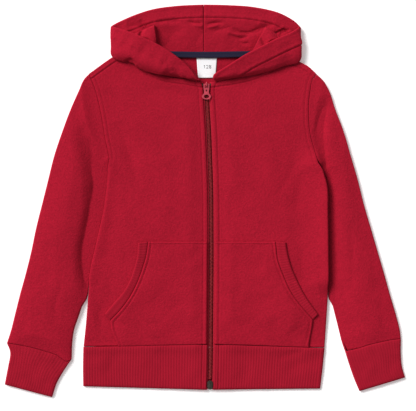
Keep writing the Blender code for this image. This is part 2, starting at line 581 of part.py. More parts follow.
def pocket(name, seam, side, zip_sign, surface):
    """A patch pocket on a front, standing on the front's own points moved out."""
    y = np.linspace(POCKET_LOW, POCKET_HIGH, 10)
    inner = np.stack((zip_x(y) + zip_sign * (zip_half_open(y) + POCKET_FROM_ZIP), y), axis=1)
    outer = np.vstack((smooth_line(side[::-1], 4)[:-1], smooth_line(seam[::-1], 7)))
    bottom = np.array((inner[0], outer[0]))
    top = np.array((inner[-1], outer[-1]))
    plan = shrink_grid(panel_grid(smooth_line(bottom, 7), smooth_line(top, 7), inner, outer), SEAM_INSET)
    low = front_low(plan[..., 0], plan[..., 1]) + FLEECE + LAID_GAP
    return wall(name, at_height(plan, low), at_height(plan, low + FLEECE), surface)


def binding(name, seam, edge, surface):
    """The pocket's curved rib edge, its short ribs raised on the upper face."""
    count = 2 * BINDING_RIBS + 1
    plan = np.stack((smooth_line(seam, count), smooth_line(edge, count)), axis=1)
    plan = shrink_grid(plan, SEAM_INSET)
    low = front_low(plan[..., 0], plan[..., 1]) + FLEECE + LAID_GAP
    rib = RIB_RISE * (np.arange(count) % 2)[:, None]
    return wall(name, at_height(plan, low), at_height(plan, low + RIB_WALL + rib), surface, rim=())


def hem_front(x_zip, y_zip, x_side, y_side, rib_count, sign, depth, lift):
    """One row of the waistband's front from the zip to the side and round its fold. At depth 0 it is the
    outer face with its ribs, otherwise the plain inner one."""
    t = np.linspace(0.0, 1.0, 2 * rib_count + 1)
    x = x_zip + (x_side - sign * HEM_TURN - x_zip) * t
    y = y_zip + (y_side - y_zip) * t
    low = front_low(x, y) + HEM_FRONT_GAP + lift
    rib = RIB_RISE * (np.arange(len(t)) % 2)
    face = at_height(np.stack((x, y), axis=1), low if depth else low + RIB_WALL + rib)
    bulge = np.array((0.5, 0.0, 0.5)) * (0.6 if depth else 1.0)
    share = np.array((0.84, 0.5, 0.16))
    turn = np.stack((x_side - sign * (depth + bulge), np.full(3, y_side)), axis=1)
    return np.vstack((face, at_height(turn, depth + share * (low[-1] + RIB_WALL - 2 * depth))))


def hem_rib(name, surface):
    """The waistband: one wall of rib knit from the zip round the back to the zip again, folded flat.
    The front faces carry raised ribs; the inside and the face it rests on are plain."""
    rows = []
    first = HEM_RIB_ROWS[0]
    ribs_left = int(round((float(zip_x(first[1])) - ZIP_HALF_OPEN - first[4]) / RIB_PITCH))
    ribs_right = int(round((first[5] - float(zip_x(first[2])) - ZIP_HALF_OPEN) / RIB_PITCH))
    for row, (y_left, y_zip_left, y_zip_right, y_right, x_left, x_right) in enumerate(HEM_RIB_ROWS):
        lift = HEM_CROWN * math.sin(math.pi * row / (len(HEM_RIB_ROWS) - 1))
        zip_left = float(zip_x(y_zip_left)) - ZIP_HALF_OPEN
        zip_right = float(zip_x(y_zip_right)) + ZIP_HALF_OPEN
        faces = []
        for depth in (RIB_WALL, 0.0):
            left = hem_front(zip_left, y_zip_left, x_left, y_left, ribs_left, -1, depth, lift)
            right = hem_front(zip_right, y_zip_right, x_right, y_right, ribs_right, 1, depth, lift)
            start = np.array((x_left + HEM_TURN, y_left, depth))
            end = np.array((x_right - HEM_TURN, y_right, depth))
            back = start + (end - start) * np.linspace(0.0, 1.0, 9)[:, None]
            faces.append(np.vstack((left, back, right[::-1])))
        rows.append(faces)
    rows = np.array(rows)
    return wall(name, rows[:, 0], rows[:, 1], surface, rim=())


def hood_sections(table):
    """Middle line of the cloth at each row of a hood table, as evenly spaced points up to the fold and
    past it. The neck seam of the flap rows stands on the front panel, the rest on the back."""
    sections = []
    for row, (_, seam, under, fold, upper, edge) in enumerate(table):
        x, y = seam
        base = float(front_low(x, y)) + FLEECE if row < FLAP_ROWS else FLEECE
        start = np.array((x, y, base + SEAM_GAP + HOOD_HALF_WALL + HOOD_SEAM_LIFT))
        under, fold, upper, edge = (np.array(point, float) for point in (under, fold, upper, edge))
        plan_share, height_share = FOLD_SHARE
        turn = fold + np.array((plan_share, plan_share, height_share)) * (upper - fold)
        fine = smooth_line((start, under, fold, turn, upper, edge), 60)
        split = int(np.argmin(np.linalg.norm(fine - fold, axis=1)))
        sections.append(np.vstack((smooth_line(fine[:split + 1], HOOD_UNDER + 1)[:-1],
                                   smooth_line(fine[split:], HOOD_SAMPLES - HOOD_UNDER))))
    return np.array(sections)


def between_rows(points, wanted):
    """Smooth values between table rows: cubic pieces with slopes from the rows either side."""
    slope = np.gradient(points, axis=0)
    lower = np.clip(np.floor(wanted).astype(int), 0, len(points) - 2)
    t = (wanted - lower).reshape((-1,) + (1,) * (points.ndim - 1))
    a, b, da, db = points[lower], points[lower + 1], slope[lower], slope[lower + 1]
    return (a * (2 * t**3 - 3 * t**2 + 1) + da * (t**3 - 2 * t**2 + t)
            + b * (3 * t**2 - 2 * t**3) + db * (t**3 - t**2))


def hood_half(name, table, surface):
    """A hood half as a wall: its middle surface moved half a wall each way along its normals."""
    rows = np.linspace(0, len(table) - 1, HOOD_SUBROWS * (len(table) - 1) + 1)
    middle = between_rows(hood_sections(table), rows)
    along, across = np.gradient(middle, axis=0), np.gradient(middle, axis=1)
    normal = np.cross(along, across)
    normal /= np.linalg.norm(normal, axis=2)[..., None]
    return wall(name, middle - HOOD_HALF_WALL * normal, middle + HOOD_HALF_WALL * normal, surface,
                rim=((0.5, 0.35),))


def slack(name, table, numbers, surface):
    """The hood's slack cloth bunched under a flap: one rounded heap, layered round its edge, whose
    peak shows past the flap's edge in the face opening."""
    first, last, peak, spread, reach = numbers
    wanted = np.linspace(first, last, SLACK_ROWS)
    sections = between_rows(hood_sections(table), wanted)
    edge = sections[:, -1, :2]
    inside = np.gradient(edge, axis=0)
    inside /= np.linalg.norm(inside, axis=1)[:, None]
    inside = np.stack((inside[:, 1], -inside[:, 0]), axis=1)
    inside *= np.sign(np.sum(inside * (edge - sections[:, -3, :2]), axis=1))[:, None]
    bump = np.clip(1 - np.abs(wanted - peak) / spread, 0, 1)
    rows = []
    for share in SLACK_SHARES:
        place = HOOD_UNDER + share * (HOOD_SAMPLES - HOOD_UNDER - 1)
        low = int(place)
        rows.append(sections[:, low] * (1 - place + low) + sections[:, low + 1] * (place - low))
        rows[-1][:, 2] -= HOOD_HALF_WALL + SEAM_GAP + SLACK_AIR
    last_row = rows[-1]
    for share in SLACK_PAST:
        past = last_row.copy()
        past[:, :2] += inside * (bump * reach * share + 0.6 * share)[:, None]
        past[:, 2] -= share * (SLACK_BACK_TILT + SLACK_PEAK_DROP * bump)
        rows.append(past)
    high = np.array(rows)
    taper = np.sin(np.pi * np.clip((wanted - first) / (last - first), 0, 1)) ** 0.35
    height = (high[..., 2] - SLACK_BASE) * (0.35 + 0.65 * taper)[None]
    high[..., 2] = SLACK_BASE + np.maximum(height, TAPE_WALL)
    low = high.copy()
    low[..., 2] = SLACK_BASE
    return wall(name, low, high, surface, rim=((0.25, 0.5), (0.5, 0.0), (0.75, 0.5)))


def crown_heap(name, surface):
    """The crown of the hood folded under what shows: one rounded solid under both halves, flat where
    it rests and layered round its edge."""
    halves = [between_rows(hood_sections(table), np.linspace(FLAP_ROWS, len(table) - 1, CROWN_ROWS))
              for table in (HOOD_LEFT, HOOD_RIGHT)]
    high = []
    for row in np.concatenate((halves[0][:-1], halves[1][::-1])):
        run = np.concatenate(([0.0], np.cumsum(np.linalg.norm(np.diff(row, axis=0), axis=1))))
        wanted = np.linspace(CROWN_FROM_NECK, run[-1] - CROWN_FROM_EDGE, CROWN_COLUMNS)
        high.append(np.stack([np.interp(wanted, run, row[:, k]) for k in range(3)], axis=1))
    high = np.array(high)
    high[..., 2] -= HOOD_HALF_WALL + SEAM_GAP + CROWN_AIR
    low = high.copy()
    low[..., 2] = 0.0
    return wall(name, low, high, surface, rim=((0.3, 0.4), (0.5, 0.0), (0.7, 0.4)))


def strip(name, centre_y, offset_in, offset_out, low, high, surface, rim=()):
    """A strip along the zip line between two sideways offsets, which may differ from row to row."""
    x = zip_x(centre_y)
    edges = [np.stack((x + offset, centre_y), axis=1) for offset in (offset_in, offset_out)]
    plan = np.stack(edges, axis=1)
    return wall(name, at_height(plan, low), at_height(plan, high), surface, rim=rim)


def outline_solid(name, outline, holes, low, high, surface, bevel=0.25):
    """A flat shape with holes, from a filled 2D curve given depth and a small bevel."""
    curve = bpy.data.curves.new(name, "CURVE")
    curve.dimensions = "2D"
    curve.fill_mode = "BOTH"
    curve.extrude = 0.5 * (high - low) * MM - bevel * MM
    curve.bevel_depth = bevel * MM
    curve.bevel_resolution = 0
    curve.offset = -bevel * MM
    for loop in (outline, *holes):
        line = curve.splines.new("POLY")
        line.points.add(len(loop) - 1)
        line.points.foreach_set("co", [c for x, y in loop for c in (x * MM, y * MM, 0.0, 1.0)])
        line.use_cyclic_u = True
    flat = bpy.data.objects.new(name + " outline", curve)
    flat.location = (0.0, 0.0, 0.5 * (low + high) * MM)
    made = as_mesh(name, flat, hoodie)
    made.data.materials.clear()
    made.data.materials.append(surface)
    return made


def as_mesh(name, curved, collection):
    """A mesh object in place of a curve object, its loose caps and borders joined."""
    collection.objects.link(curved)
    bpy.context.view_layer.update()
    depsgraph = bpy.context.evaluated_depsgraph_get()
    mesh = bpy.data.meshes.new_from_object(curved.evaluated_get(depsgraph))
    shape = bmesh.new()
    shape.from_mesh(mesh)
    bmesh.ops.remove_doubles(shape, verts=shape.verts, dist=0.002 * MM)
    bmesh.ops.recalc_face_normals(shape, faces=shape.faces)
    shape.to_mesh(mesh)
    shape.free()
    made = bpy.data.objects.new(name, mesh)
    made.matrix_world = curved.matrix_world
    collection.objects.link(made)
    bpy.data.objects.remove(curved, do_unlink=True)
    return made


def oval(x, y, half_x, half_y, count):
    """Points round an oval."""
    turn = [2 * math.pi * k / count for k in range(count)]
    return [(x + half_x * math.cos(a), y + half_y * math.sin(a)) for a in turn]


def slider(surface):
    """The zip's slider: a body that tapers down to the chain, with the bail that holds the pull on it."""
    x = float(zip_x(SLIDER_Y))
    half, long = SLIDER_HALF_WIDTH, SLIDER_LENGTH
    top, low = SLIDER_Y + 0.5 * long, SLIDER_Y - 0.5 * long
    outline = [(x - 0.62 * half, low), (x + 0.62 * half, low), (x + 0.9 * half, low + 0.3 * long),
               (x + half, top - 0.22 * long), (x + 0.7 * half, top - 0.08 * long), (x + 0.25 * half, top),
               (x - 0.25 * half, top), (x - 0.7 * half, top - 0.08 * long), (x - half, top - 0.22 * long),
               (x - 0.9 * half, low + 0.3 * long)]
    body = outline_solid("zip_slider", outline, (), SLIDER_BASE, SLIDER_TOP, surface, SLIDER_BEVEL)
    arch = bpy.data.curves.new("bail", "CURVE")
    arch.dimensions = "3D"
    arch.bevel_depth = 0.5 * BAIL_ROD * MM
    arch.bevel_resolution = 1
    arch.use_fill_caps = True
    foot = SLIDER_TOP - BAIL_ROOT
    crest = HINGE_Z + 0.5 * PULL_THICKNESS + BAIL_CLEAR + 0.5 * BAIL_ROD
    track = ((BAIL_REACH, foot), (BAIL_REACH, HINGE_Z), (0.6 * BAIL_REACH, crest), (-0.6 * BAIL_REACH, crest),
             (-BAIL_REACH, HINGE_Z), (-BAIL_REACH, foot))
    line = arch.splines.new("POLY")
    line.points.add(len(track) - 1)
    line.points.foreach_set("co", [c for y, z in track for c in (0.0, (HINGE_Y + y) * MM, z * MM, 1.0)])
    arched = bpy.data.objects.new("bail line", arch)
    arched.location = (float(zip_x(HINGE_Y)) * MM, 0.0, 0.0)
    bail = as_mesh("bail", arched, cutters)
    bail.hide_render = True
    bail.display_type = "WIRE"
    join = body.modifiers.new("bail", "BOOLEAN")
    join.operation = "UNION"
    join.solver = "EXACT"
    join.object = bail
    return body


def pull(surface):
    """The pull tab: a bar under the bail, two arms beside it, a pierced neck and a ring to hold. Its
    origin is on the hinge axis."""
    head, arm, foot, waist, neck = PULL_HALF_WIDTHS
    half_x, half_y = PULL_RING
    ring_y = PULL_HEAD + half_y - PULL_LENGTH
    side = [(head, PULL_HEAD), (arm, 0.4), (foot, -6.0), (waist, -11.0), (neck, ring_y + half_y)]
    turn = np.radians(np.linspace(30, -210, 13))
    ring = [(half_x * math.cos(a), ring_y + half_y * math.sin(a)) for a in turn]
    outline = side + ring + [(-x, y) for x, y in side[::-1]]
    eye_y, eye_x, eye_half_y = PULL_EYE
    holes = (PULL_WINDOW, oval(0.0, eye_y, eye_x, eye_half_y, 8), oval(0.0, ring_y, *PULL_HOLE, 12))
    half = 0.5 * PULL_THICKNESS
    tab = outline_solid("zip_pull", outline, holes, -half, half, surface, PULL_BEVEL)
    tab.location = (float(zip_x(HINGE_Y)) * MM, HINGE_Y * MM, HINGE_Z * MM)
    return tab


for left_over in list(bpy.data.objects):
    bpy.data.objects.remove(left_over, do_unlink=True)
hoodie = bpy.data.collections.new("kids_hoodie")
cutters = bpy.data.collections.new("cutters")
bpy.context.scene.collection.children.link(hoodie)
bpy.context.scene.collection.children.link(cutters)

RED = (0.36, 0.012, 0.032)
DEEP_RED = (0.30, 0.008, 0.026)
NAVY = (0.02, 0.02, 0.055)
WHITE = (0.84, 0.84, 0.86)
BRONZE = (0.07, 0.05, 0.04)
PAINT = (0.45, 0.05, 0.08)


def cloth(name, colour=RED):
    return material(name, colour, 0.9)


back_panel("back", cloth("back"))
front_panel("front_left", HEM_SEAM_LEFT, SIDE_LEFT, ARMHOLE_LEFT, NECK_LEFT, SHOULDER_LEFT,
            cloth("front_left"))
front_panel("front_right", HEM_SEAM_RIGHT, SIDE_RIGHT, ARMHOLE_RIGHT, NECK_RIGHT, SHOULDER_RIGHT,
            cloth("front_right"))
sleeve("sleeve_left", SLEEVE_LEFT_INNER, SLEEVE_LEFT_OUTER, ARMHOLE_LEFT, CUFF_SEAM_LEFT,
       cloth("sleeve_left"))
sleeve("sleeve_right", SLEEVE_RIGHT_INNER, SLEEVE_RIGHT_OUTER, ARMHOLE_RIGHT, CUFF_SEAM_RIGHT,
       cloth("sleeve_right"))
cuff("cuff_left", CUFF_LEFT_ROWS, CUFF_SEAM_LEFT, cloth("cuff_left", DEEP_RED))
cuff("cuff_right", CUFF_RIGHT_ROWS, CUFF_SEAM_RIGHT, cloth("cuff_right", DEEP_RED))
hem_rib("hem_rib", cloth("hem_rib", DEEP_RED))
pocket("pocket_left", POCKET_SEAM_LEFT, POCKET_SIDE_LEFT, -1, cloth("pocket_left"))
pocket("pocket_right", POCKET_SEAM_RIGHT, POCKET_SIDE_RIGHT, 1, cloth("pocket_right"))
binding("pocket_rib_left", POCKET_SEAM_LEFT, BINDING_EDGE_LEFT, cloth("pocket_rib_left", DEEP_RED))
binding("pocket_rib_right", POCKET_SEAM_RIGHT, BINDING_EDGE_RIGHT, cloth("pocket_rib_right", DEEP_RED))
hood_half("hood_left", HOOD_LEFT, cloth("hood_left"))
hood_half("hood_right", HOOD_RIGHT, cloth("hood_right"))
crown_heap("hood_crown", cloth("hood_crown"))
slack("hood_slack_left", HOOD_LEFT, SLACK_LEFT, cloth("hood_slack_left"))
slack("hood_slack_right", HOOD_RIGHT, SLACK_RIGHT, cloth("hood_slack_right"))

tape_low = smooth_line(NECK_TAPE, 9)
tape_plan = np.stack((tape_low, tape_low + np.array((0.0, NECK_TAPE_WIDTH))), axis=1)
wall("neck_tape", at_height(tape_plan, NECK_TAPE_BASE), at_height(tape_plan, NECK_TAPE_BASE + TAPE_WALL),
     material("neck_tape", NAVY, 0.85), rim=())

top_left, top_right, low_right, low_left = np.array(LABEL_CORNERS)
label_plan = panel_grid(smooth_line((low_left, low_right), 4), smooth_line((top_left, top_right), 4),
                        smooth_line((low_left, top_left), 5), smooth_line((low_right, top_right), 5))
label_base = FLEECE + SEAM_GAP
wall("neck_label", at_height(label_plan, label_base), at_height(label_plan, label_base + LABEL_WALL),
     material("neck_label", WHITE, 0.6), rim=())

stations = (-200.0, -130.0, -60.0, 0.0, 40.0, 80.0, 110.0, 140.0)
tape_y = np.array((TAPE_LOW, *stations, CHAIN_TOP - 1.4, CHAIN_TOP, TAPE_TOP - 1.0, TAPE_TOP))
tape_inner = np.where(tape_y >= CHAIN_TOP, SLIDER_HALF_WIDTH + SLIDER_CLEAR, CHAIN_HALF_WIDTH + CHAIN_CLEAR)
tape_outer = np.full(len(tape_y), TAPE_HALF_WIDTH)
for side, sign in (("left", -1), ("right", 1)):
    strip("zip_tape_" + side, tape_y, sign * tape_inner, sign * tape_outer, TAPE_BASE, TAPE_BASE + TAPE_WALL,
          material("zip_tape_" + side, DEEP_RED, 0.8))
chain_y = np.array((CHAIN_LOW, *stations, CHAIN_TOP))
chain_half = np.full(len(chain_y), CHAIN_HALF_WIDTH)
strip("zip_chain", chain_y, -chain_half, chain_half, CHAIN_BASE, CHAIN_BASE + CHAIN_HEIGHT,
      material("zip_chain", BRONZE, 0.4, 0.9), rim=((0.5, CHAIN_ROUND),))

slider(material("zip_slider", PAINT, 0.35, 0.4))
pull(material("zip_pull", PAINT, 0.35, 0.4))
on_tape = TAPE_BASE + TAPE_WALL + SEAM_GAP
for side, sign in (("left", -1), ("right", 1)):
    stop_x = float(zip_x(0.5 * sum(STOP_Y))) + sign * (SLIDER_HALF_WIDTH + STOP_FROM_SLIDER)
    stop = [(stop_x - STOP_HALF_WIDTH, STOP_Y[0]), (stop_x + STOP_HALF_WIDTH, STOP_Y[0]),
            (stop_x + STOP_HALF_WIDTH, STOP_Y[1]), (stop_x - STOP_HALF_WIDTH, STOP_Y[1])]
    outline_solid("zip_top_stop_" + side, stop, (), on_tape, STOP_TOP,
                  material("zip_top_stop_" + side, BRONZE, 0.35, 0.9))
box_x = float(zip_x(BOX_Y))
box = [(box_x + max(-BOX_HALF_WIDTH, min(BOX_HALF_WIDTH, BOX_FULLNESS * (x - box_x))), y)
       for x, y in oval(box_x, BOX_Y, BOX_HALF_WIDTH, BOX_HALF_LENGTH, 12)]
outline_solid("zip_box", box, (), on_tape, BOX_TOP, material("zip_box", BRONZE, 0.35, 0.9), 0.4)
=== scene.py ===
import math

import bpy
import numpy as np
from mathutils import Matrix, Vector


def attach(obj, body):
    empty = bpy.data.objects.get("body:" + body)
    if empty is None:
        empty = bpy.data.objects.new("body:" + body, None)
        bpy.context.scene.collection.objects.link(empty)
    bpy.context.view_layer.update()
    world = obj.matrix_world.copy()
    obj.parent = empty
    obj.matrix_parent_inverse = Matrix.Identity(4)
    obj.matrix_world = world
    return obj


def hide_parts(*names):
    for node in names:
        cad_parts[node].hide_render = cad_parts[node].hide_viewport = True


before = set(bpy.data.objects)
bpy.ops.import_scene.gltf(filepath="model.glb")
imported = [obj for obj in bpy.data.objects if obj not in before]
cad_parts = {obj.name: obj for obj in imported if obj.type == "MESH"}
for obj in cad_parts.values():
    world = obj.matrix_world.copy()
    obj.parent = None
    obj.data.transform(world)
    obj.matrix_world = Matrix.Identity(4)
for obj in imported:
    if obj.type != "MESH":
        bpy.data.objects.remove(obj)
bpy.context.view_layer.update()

MM = 0.001
SEAM_GAP = 0.3        # air between neighbouring pieces
FLEECE = 2.0          # body, sleeve, hood and pocket cloth
RIB_WALL = 2.2        # rib knit between its grooves
RIB_RISE = 0.34       # how far a rib stands out of the rib knit
RIB_PITCH = 4.1       # waistband's ribs
TAPE_WALL = 0.8       # zip tapes and the neck tape
SIDE_SHARE = 7 / 14   # of a body panel's outer edge: side seam up to the armpit, the rest is armhole
NECK_SHARE = 7 / 11   # of a front's top edge: neck seam, the rest is shoulder
BACK_SHOULDER = 0.25  # of the back's top edge: each shoulder
POCKET_SIDE_SHARE = 3 / 9     # of a pocket's outer edge: its side below the hand opening
EDGE_INSET = 0.05     # from a seam line to the cloth's border
SEAM_AIR = 0.12       # and to the border of the tube sewn on there
FRONT_BASE = FLEECE + SEAM_GAP    # underside of the front panels at their seams
FRONT_LEAST = FLEECE + 0.15       # and where it is lowest
ZIP_LIFT = 1.4        # the front panels climb this much onto the zip tapes
ZIP_LIFT_FLAT = 16.5  # from the centre line, level over the tapes
ZIP_LIFT_REACH = 62.0     # and back down
FRONT_CROWN = 1.6     # slack of the front panels between zip and side
FRONT_HALF = 175.0    # zip to side, over which that slack is spread
FRONT_LOW = -219.0    # hem seam
FRONT_HIGH = 192.0    # neck seam
ZIP_HALF_OPEN = 4.9   # zip centre line to either fabric edge
ZIP_FLARE = 3.4       # how much further apart the fabric edges are at the top of the zip
ZIP_FLARE_REACH = 12.0
ZIP_TOP = 178.5
ZIP_STITCH = 7.2      # top-stitching beside the zip, in from the fabric edge
# how high the body's side stands, how far in that reaches, and over how much its edge rolls down: left, right
SIDE_RIDGES = ((0.6, 26.0, 4.6), (7.4, 27.0, 2.0))
SIDE_RIDGE_ENDS = (44.0, 94.0)    # y over which that ridge fades out towards the armpit
SIDE_LIFT = (1.3, 2.4)            # how much a side is lifted by the sleeve it lies on: left, right
SIDE_RUN_OUT = (10.0, 34.0)       # over how much that lift ends below the armpit: left, right
SIDE_OVER = 1.1       # how far a side reaches over the sleeve
SLEEVE_LEAVES = (-145.0, -115.0)  # y between which the sleeves come away from the body
FRONT_AIR = 1.5       # how far the middle of the front stands off the back
TAPE_HALF_WIDTH = 15.0
TAPE_BASE = FLEECE + 0.8
TAPE_LOW = -283.0
TAPE_TOP = 178.0
CHAIN_LOW = -268.0
CHAIN_TOP = 163.4
CHAIN_BASE = FLEECE + 1.0
CHAIN_HEIGHT = 2.6
CHAIN_HALF_WIDTH = 2.6
TOOTH_PITCH = 2.1
TOOTH_LENGTH = 3.1
TOOTH_ASIDE = 1.1     # its middle off the zip's centre line
SLIDER_HALF_WIDTH = 4.1
SLIDER_CLEAR = 0.9    # tape to slider
CHAIN_CLEAR = 0.7     # chain's side to either tape
SLEEVE_FROM_BODY = 0.3    # air between a sleeve's inner edge and the body's side
SLEEVE_LEAST = 2.9    # lowest outer face of a sleeve
SLEEVE_CAP = 5.5      # height of a sleeve's cap at the armhole seam
CUFF_EDGE_HEIGHT = 5.2    # outer face of a cuff at its folded edges, before they are rolled
CUFF_FLOOR = 3.2      # height a cuff is rolled down towards at its seam and its opening
CUFF_CROWN = 1.6      # and how much higher its middle is
CUFF_DEPTH = 50.0
CUFF_RIBS = 20
CUFF_RIB_SHARE = 0.72     # how far a cuff's ribs stand, as a share of the waistband's
HEM_DEPTH = 64.0      # of the waistband
HEM_FOLD = 2.6        # how far in its folded sides start to turn
HEM_LEAST = 2.5       # lowest inner face of its front
HEM_BACK_RIBS = 88
BINDING_RIBS = 32
HEM_FRONT_GAP = 0.5   # waistband's front above the level of the front panels' underside
POCKET_LOW = -214.2
POCKET_HIGH = -61.0
POCKET_FROM_ZIP = 0.9     # pocket's edge back from the front panel's edge
HOOD_HALF_WALL = 0.5 * FLEECE
HOOD_SEAM_LIFT = 0.15     # extra air under the hood's neck seam
HOOD_BAND = 20.0          # hem band round the face opening, edge to stitch line
SLACK_BASE = 7.3      # underside of the slack hood cloth bunched under each flap
STITCH_PITCH = 3.0
STITCH_LENGTH = 2.3
STITCH_WIDTH = 0.42

# studio, in metres
CAMERA_HEIGHT = 2.6
VIEW_WIDTH = 0.624    # what the camera sees from side to side
CENTRE = (0.00495, -0.006975)     # below the camera
FLOOR_HALF = 30.0
FLOOR_AIR = 0.0002    # floor below the cloth
CLOTH_TOP = 0.006     # level that the camera's height is counted from
SENSOR = 36.0         # millimetres
KEY_STRENGTH = 3.55
KEY_FROM = (-0.76, 0.68, 0.78)    # direction towards the key light
KEY_SPREAD = 30.0     # how broad it is, in degrees
FILL_STRENGTH = 0.46  # even light all round
FLOOR_GLOW = 0.22
GAMMA = 0.78          # under 1: deeper hollows and purer reds

# zip centre line: y, x
ZIP_LINE = (
    (-284, 7.8), (-240, 8.8), (-164, 9.5), (-74, 10), (-29, 9.8), (16, 9.5), (61, 8), (106, 6.2),
    (151, 3.5), (180, 2.4),
)

# body outline, x, y, from hem seam up to the armpit
SIDE_LEFT = (
    (-181.8, -218.9), (-177.3, -175.7), (-174.5, -138.2), (-172, -109.7), (-163, -67.7), (-151, -13.7),
    (-145, 31.3), (-143.2, 64.3),
)
SIDE_RIGHT = (
    (179.9, -220.5), (182.7, -175.7), (185, -138.2), (185, -73.7), (184.2, -13.7), (183.5, 20),
    (177.5, 44.8), (169.8, 57.5),
)
# armhole seam, x, y, from the armpit up to the shoulder tip
ARMHOLE_LEFT = (
    (-143.2, 64.3), (-150.3, 98.8), (-153.8, 121.3), (-158.1, 142.9), (-164.7, 168.2), (-173.6, 190.6),
)
ARMHOLE_RIGHT = (
    (169.8, 57.5), (164.7, 75.8), (160.2, 90.8), (156.8, 110.3), (155.6, 130.9), (158, 165.4),
    (161.3, 180.2), (167.6, 190.4),
)
# neck seam of each front, x, y, from the zip up to the neck end of the shoulder seam
NECK_LEFT = (
    (-6, 178.5), (-22, 181.8), (-40, 184.3), (-61, 188), (-80.5, 197), (-95.5, 210.5), (-106, 224),
    (-111.5, 231.5),
)
NECK_RIGHT = (
    (10.8, 178.5), (24.5, 180.3), (47, 184), (68, 189), (89, 198), (104, 210.5), (111.5, 222),
    (114.5, 229.3),
)
SHOULDER_LEFT = ((-111.5, 231.5), (-139.5, 215), (-173.6, 190.6))
SHOULDER_RIGHT = ((114.5, 229.3), (143, 208.6), (154.5, 202.3), (167.6, 190.4))
NECK_BACK = ((-111.5, 231.5), (-60, 222), (-1, 219.5), (60, 221.5), (114.5, 229.3))
# hem seam, x, y, from each side to the zip
HEM_SEAM_LEFT = ((-181.8, -218.9), (-120, -218), (-60, -216.4), (3.9, -215))
HEM_SEAM_RIGHT = ((179.9, -220.5), (120, -218.6), (60, -216.2), (13.8, -215))
HEM_SEAM_BACK = ((-181.8, -218.9), (-60, -219.5), (60, -219.8), (179.9, -220.5))

# hem rib outline at its seam, half way and at its foot: y at the left side, y at the left of the zip,
# y at the right of the zip, y at the right side, x of the left side, x of the right side
HEM_RIB_ROWS = (
    (-219.4, -215.5, -215.5, -221, -181.9, 179.8),
    (-249, -249.5, -249, -251, -182.5, 176.8),
    (-278.4, -283.6, -283.4, -281.8, -182.2, 173.2),
)

# outer and inner edge of each sleeve, x, y, from the armhole to the cuff seam
SLEEVE_LEFT_OUTER = (
    (-174.2, 190.6), (-181.1, 182.8), (-188.6, 166.3), (-200.6, 139.3), (-214.1, 103.3), (-226.1, 67.3),
    (-235.1, 31.3), (-244.1, -4.7), (-253.1, -40.7), (-260.6, -76.7), (-269.6, -112.7), (-277.1, -139.7),
    (-286.1, -175.7), (-290.6, -193.7), (-296.9, -213.4),
)
SLEEVE_LEFT_INNER = (
    (-143.8, 64), (-146.4, 31.3), (-152.4, -13.7), (-164.4, -67.7), (-173.4, -109.7), (-178.6, -139.7),
    (-184.1, -157.7), (-190.1, -175.7), (-196.1, -193.7), (-198.8, -211.7), (-200, -238),
)
SLEEVE_RIGHT_OUTER = (
    (168.2, 190.4), (177.5, 181.4), (186.5, 166.3), (195.5, 139.3), (209, 103.3), (219.5, 67.3),
    (230, 31.3), (239, -4.7), (249.5, -40.7), (260, -76.7), (270.5, -112.7), (278, -139.7), (288.5, -175.7),
    (293.2, -195), (294.6, -207),
)
SLEEVE_RIGHT_INNER = (
    (170.5, 57.8), (178.6, 45.4), (184.9, 20), (186.4, -13.7), (186.9, -73.7), (187.2, -126),
    (188.4, -139.7), (192.5, -157.7), (197, -175.7), (201.5, -193.7), (206, -211.7), (210.8, -225.9),
)
# cuff seam, x, y, from the sleeve's inner edge to its outer edge
CUFF_SEAM_LEFT = (
    (-200, -238), (-204.5, -240.4), (-222.9, -230.7), (-238.2, -226), (-257.3, -220.6), (-276.5, -216.4),
    (-296.9, -213.4),
)
CUFF_SEAM_RIGHT = (
    (210.8, -225.9), (231.3, -220.8), (249.3, -215.2), (267.2, -211.2), (281.6, -208.3), (294.6, -207),
)
# cuff rows from seam to opening: inner x, y, outer x, y
CUFF_LEFT_ROWS = (
    (-203, -240.6, -295.6, -215.5), (-213, -256, -291.3, -230), (-222.4, -274, -295.9, -253),
    (-229.1, -294.5, -300.2, -275.6),
)
CUFF_RIGHT_ROWS = (
    (211.6, -227.6, 294.2, -208.5), (217.6, -247, 294.2, -228), (224.5, -267, 296, -248),
    (232.4, -285.6, 300.8, -265),
)

# pocket rib seam and outer edge, x, y, from the pocket top down; then the pocket's side to the hem seam
POCKET_SEAM_LEFT = (
    (-84.8, -61), (-88.1, -83.2), (-94.1, -103.6), (-102.3, -125), (-113.1, -145.4), (-127.5, -164.5),
    (-141.8, -179.5),
)
BINDING_EDGE_LEFT = (
    (-99.9, -62.4), (-101.7, -84.4), (-105.9, -101.2), (-112.5, -119), (-122.7, -137), (-135.9, -152.4),
    (-150.4, -169.5),
)
POCKET_SIDE_LEFT = ((-141.8, -179.5), (-140.1, -193.3), (-134.1, -208.7), (-129.9, -217))
POCKET_SEAM_RIGHT = (
    (106.4, -61), (110, -89.2), (117.6, -110.6), (128.4, -134.6), (140.4, -152.5), (152.3, -166.5),
    (162.5, -178),
)
BINDING_EDGE_RIGHT = (
    (121.8, -62.4), (124.2, -77.2), (129.6, -97.6), (139.2, -120.2), (151.2, -142.9), (161.9, -158.5),
    (170.4, -169.8),
)
POCKET_SIDE_RIGHT = ((162.5, -178), (160.8, -192), (158.2, -205), (155.9, -216.6))

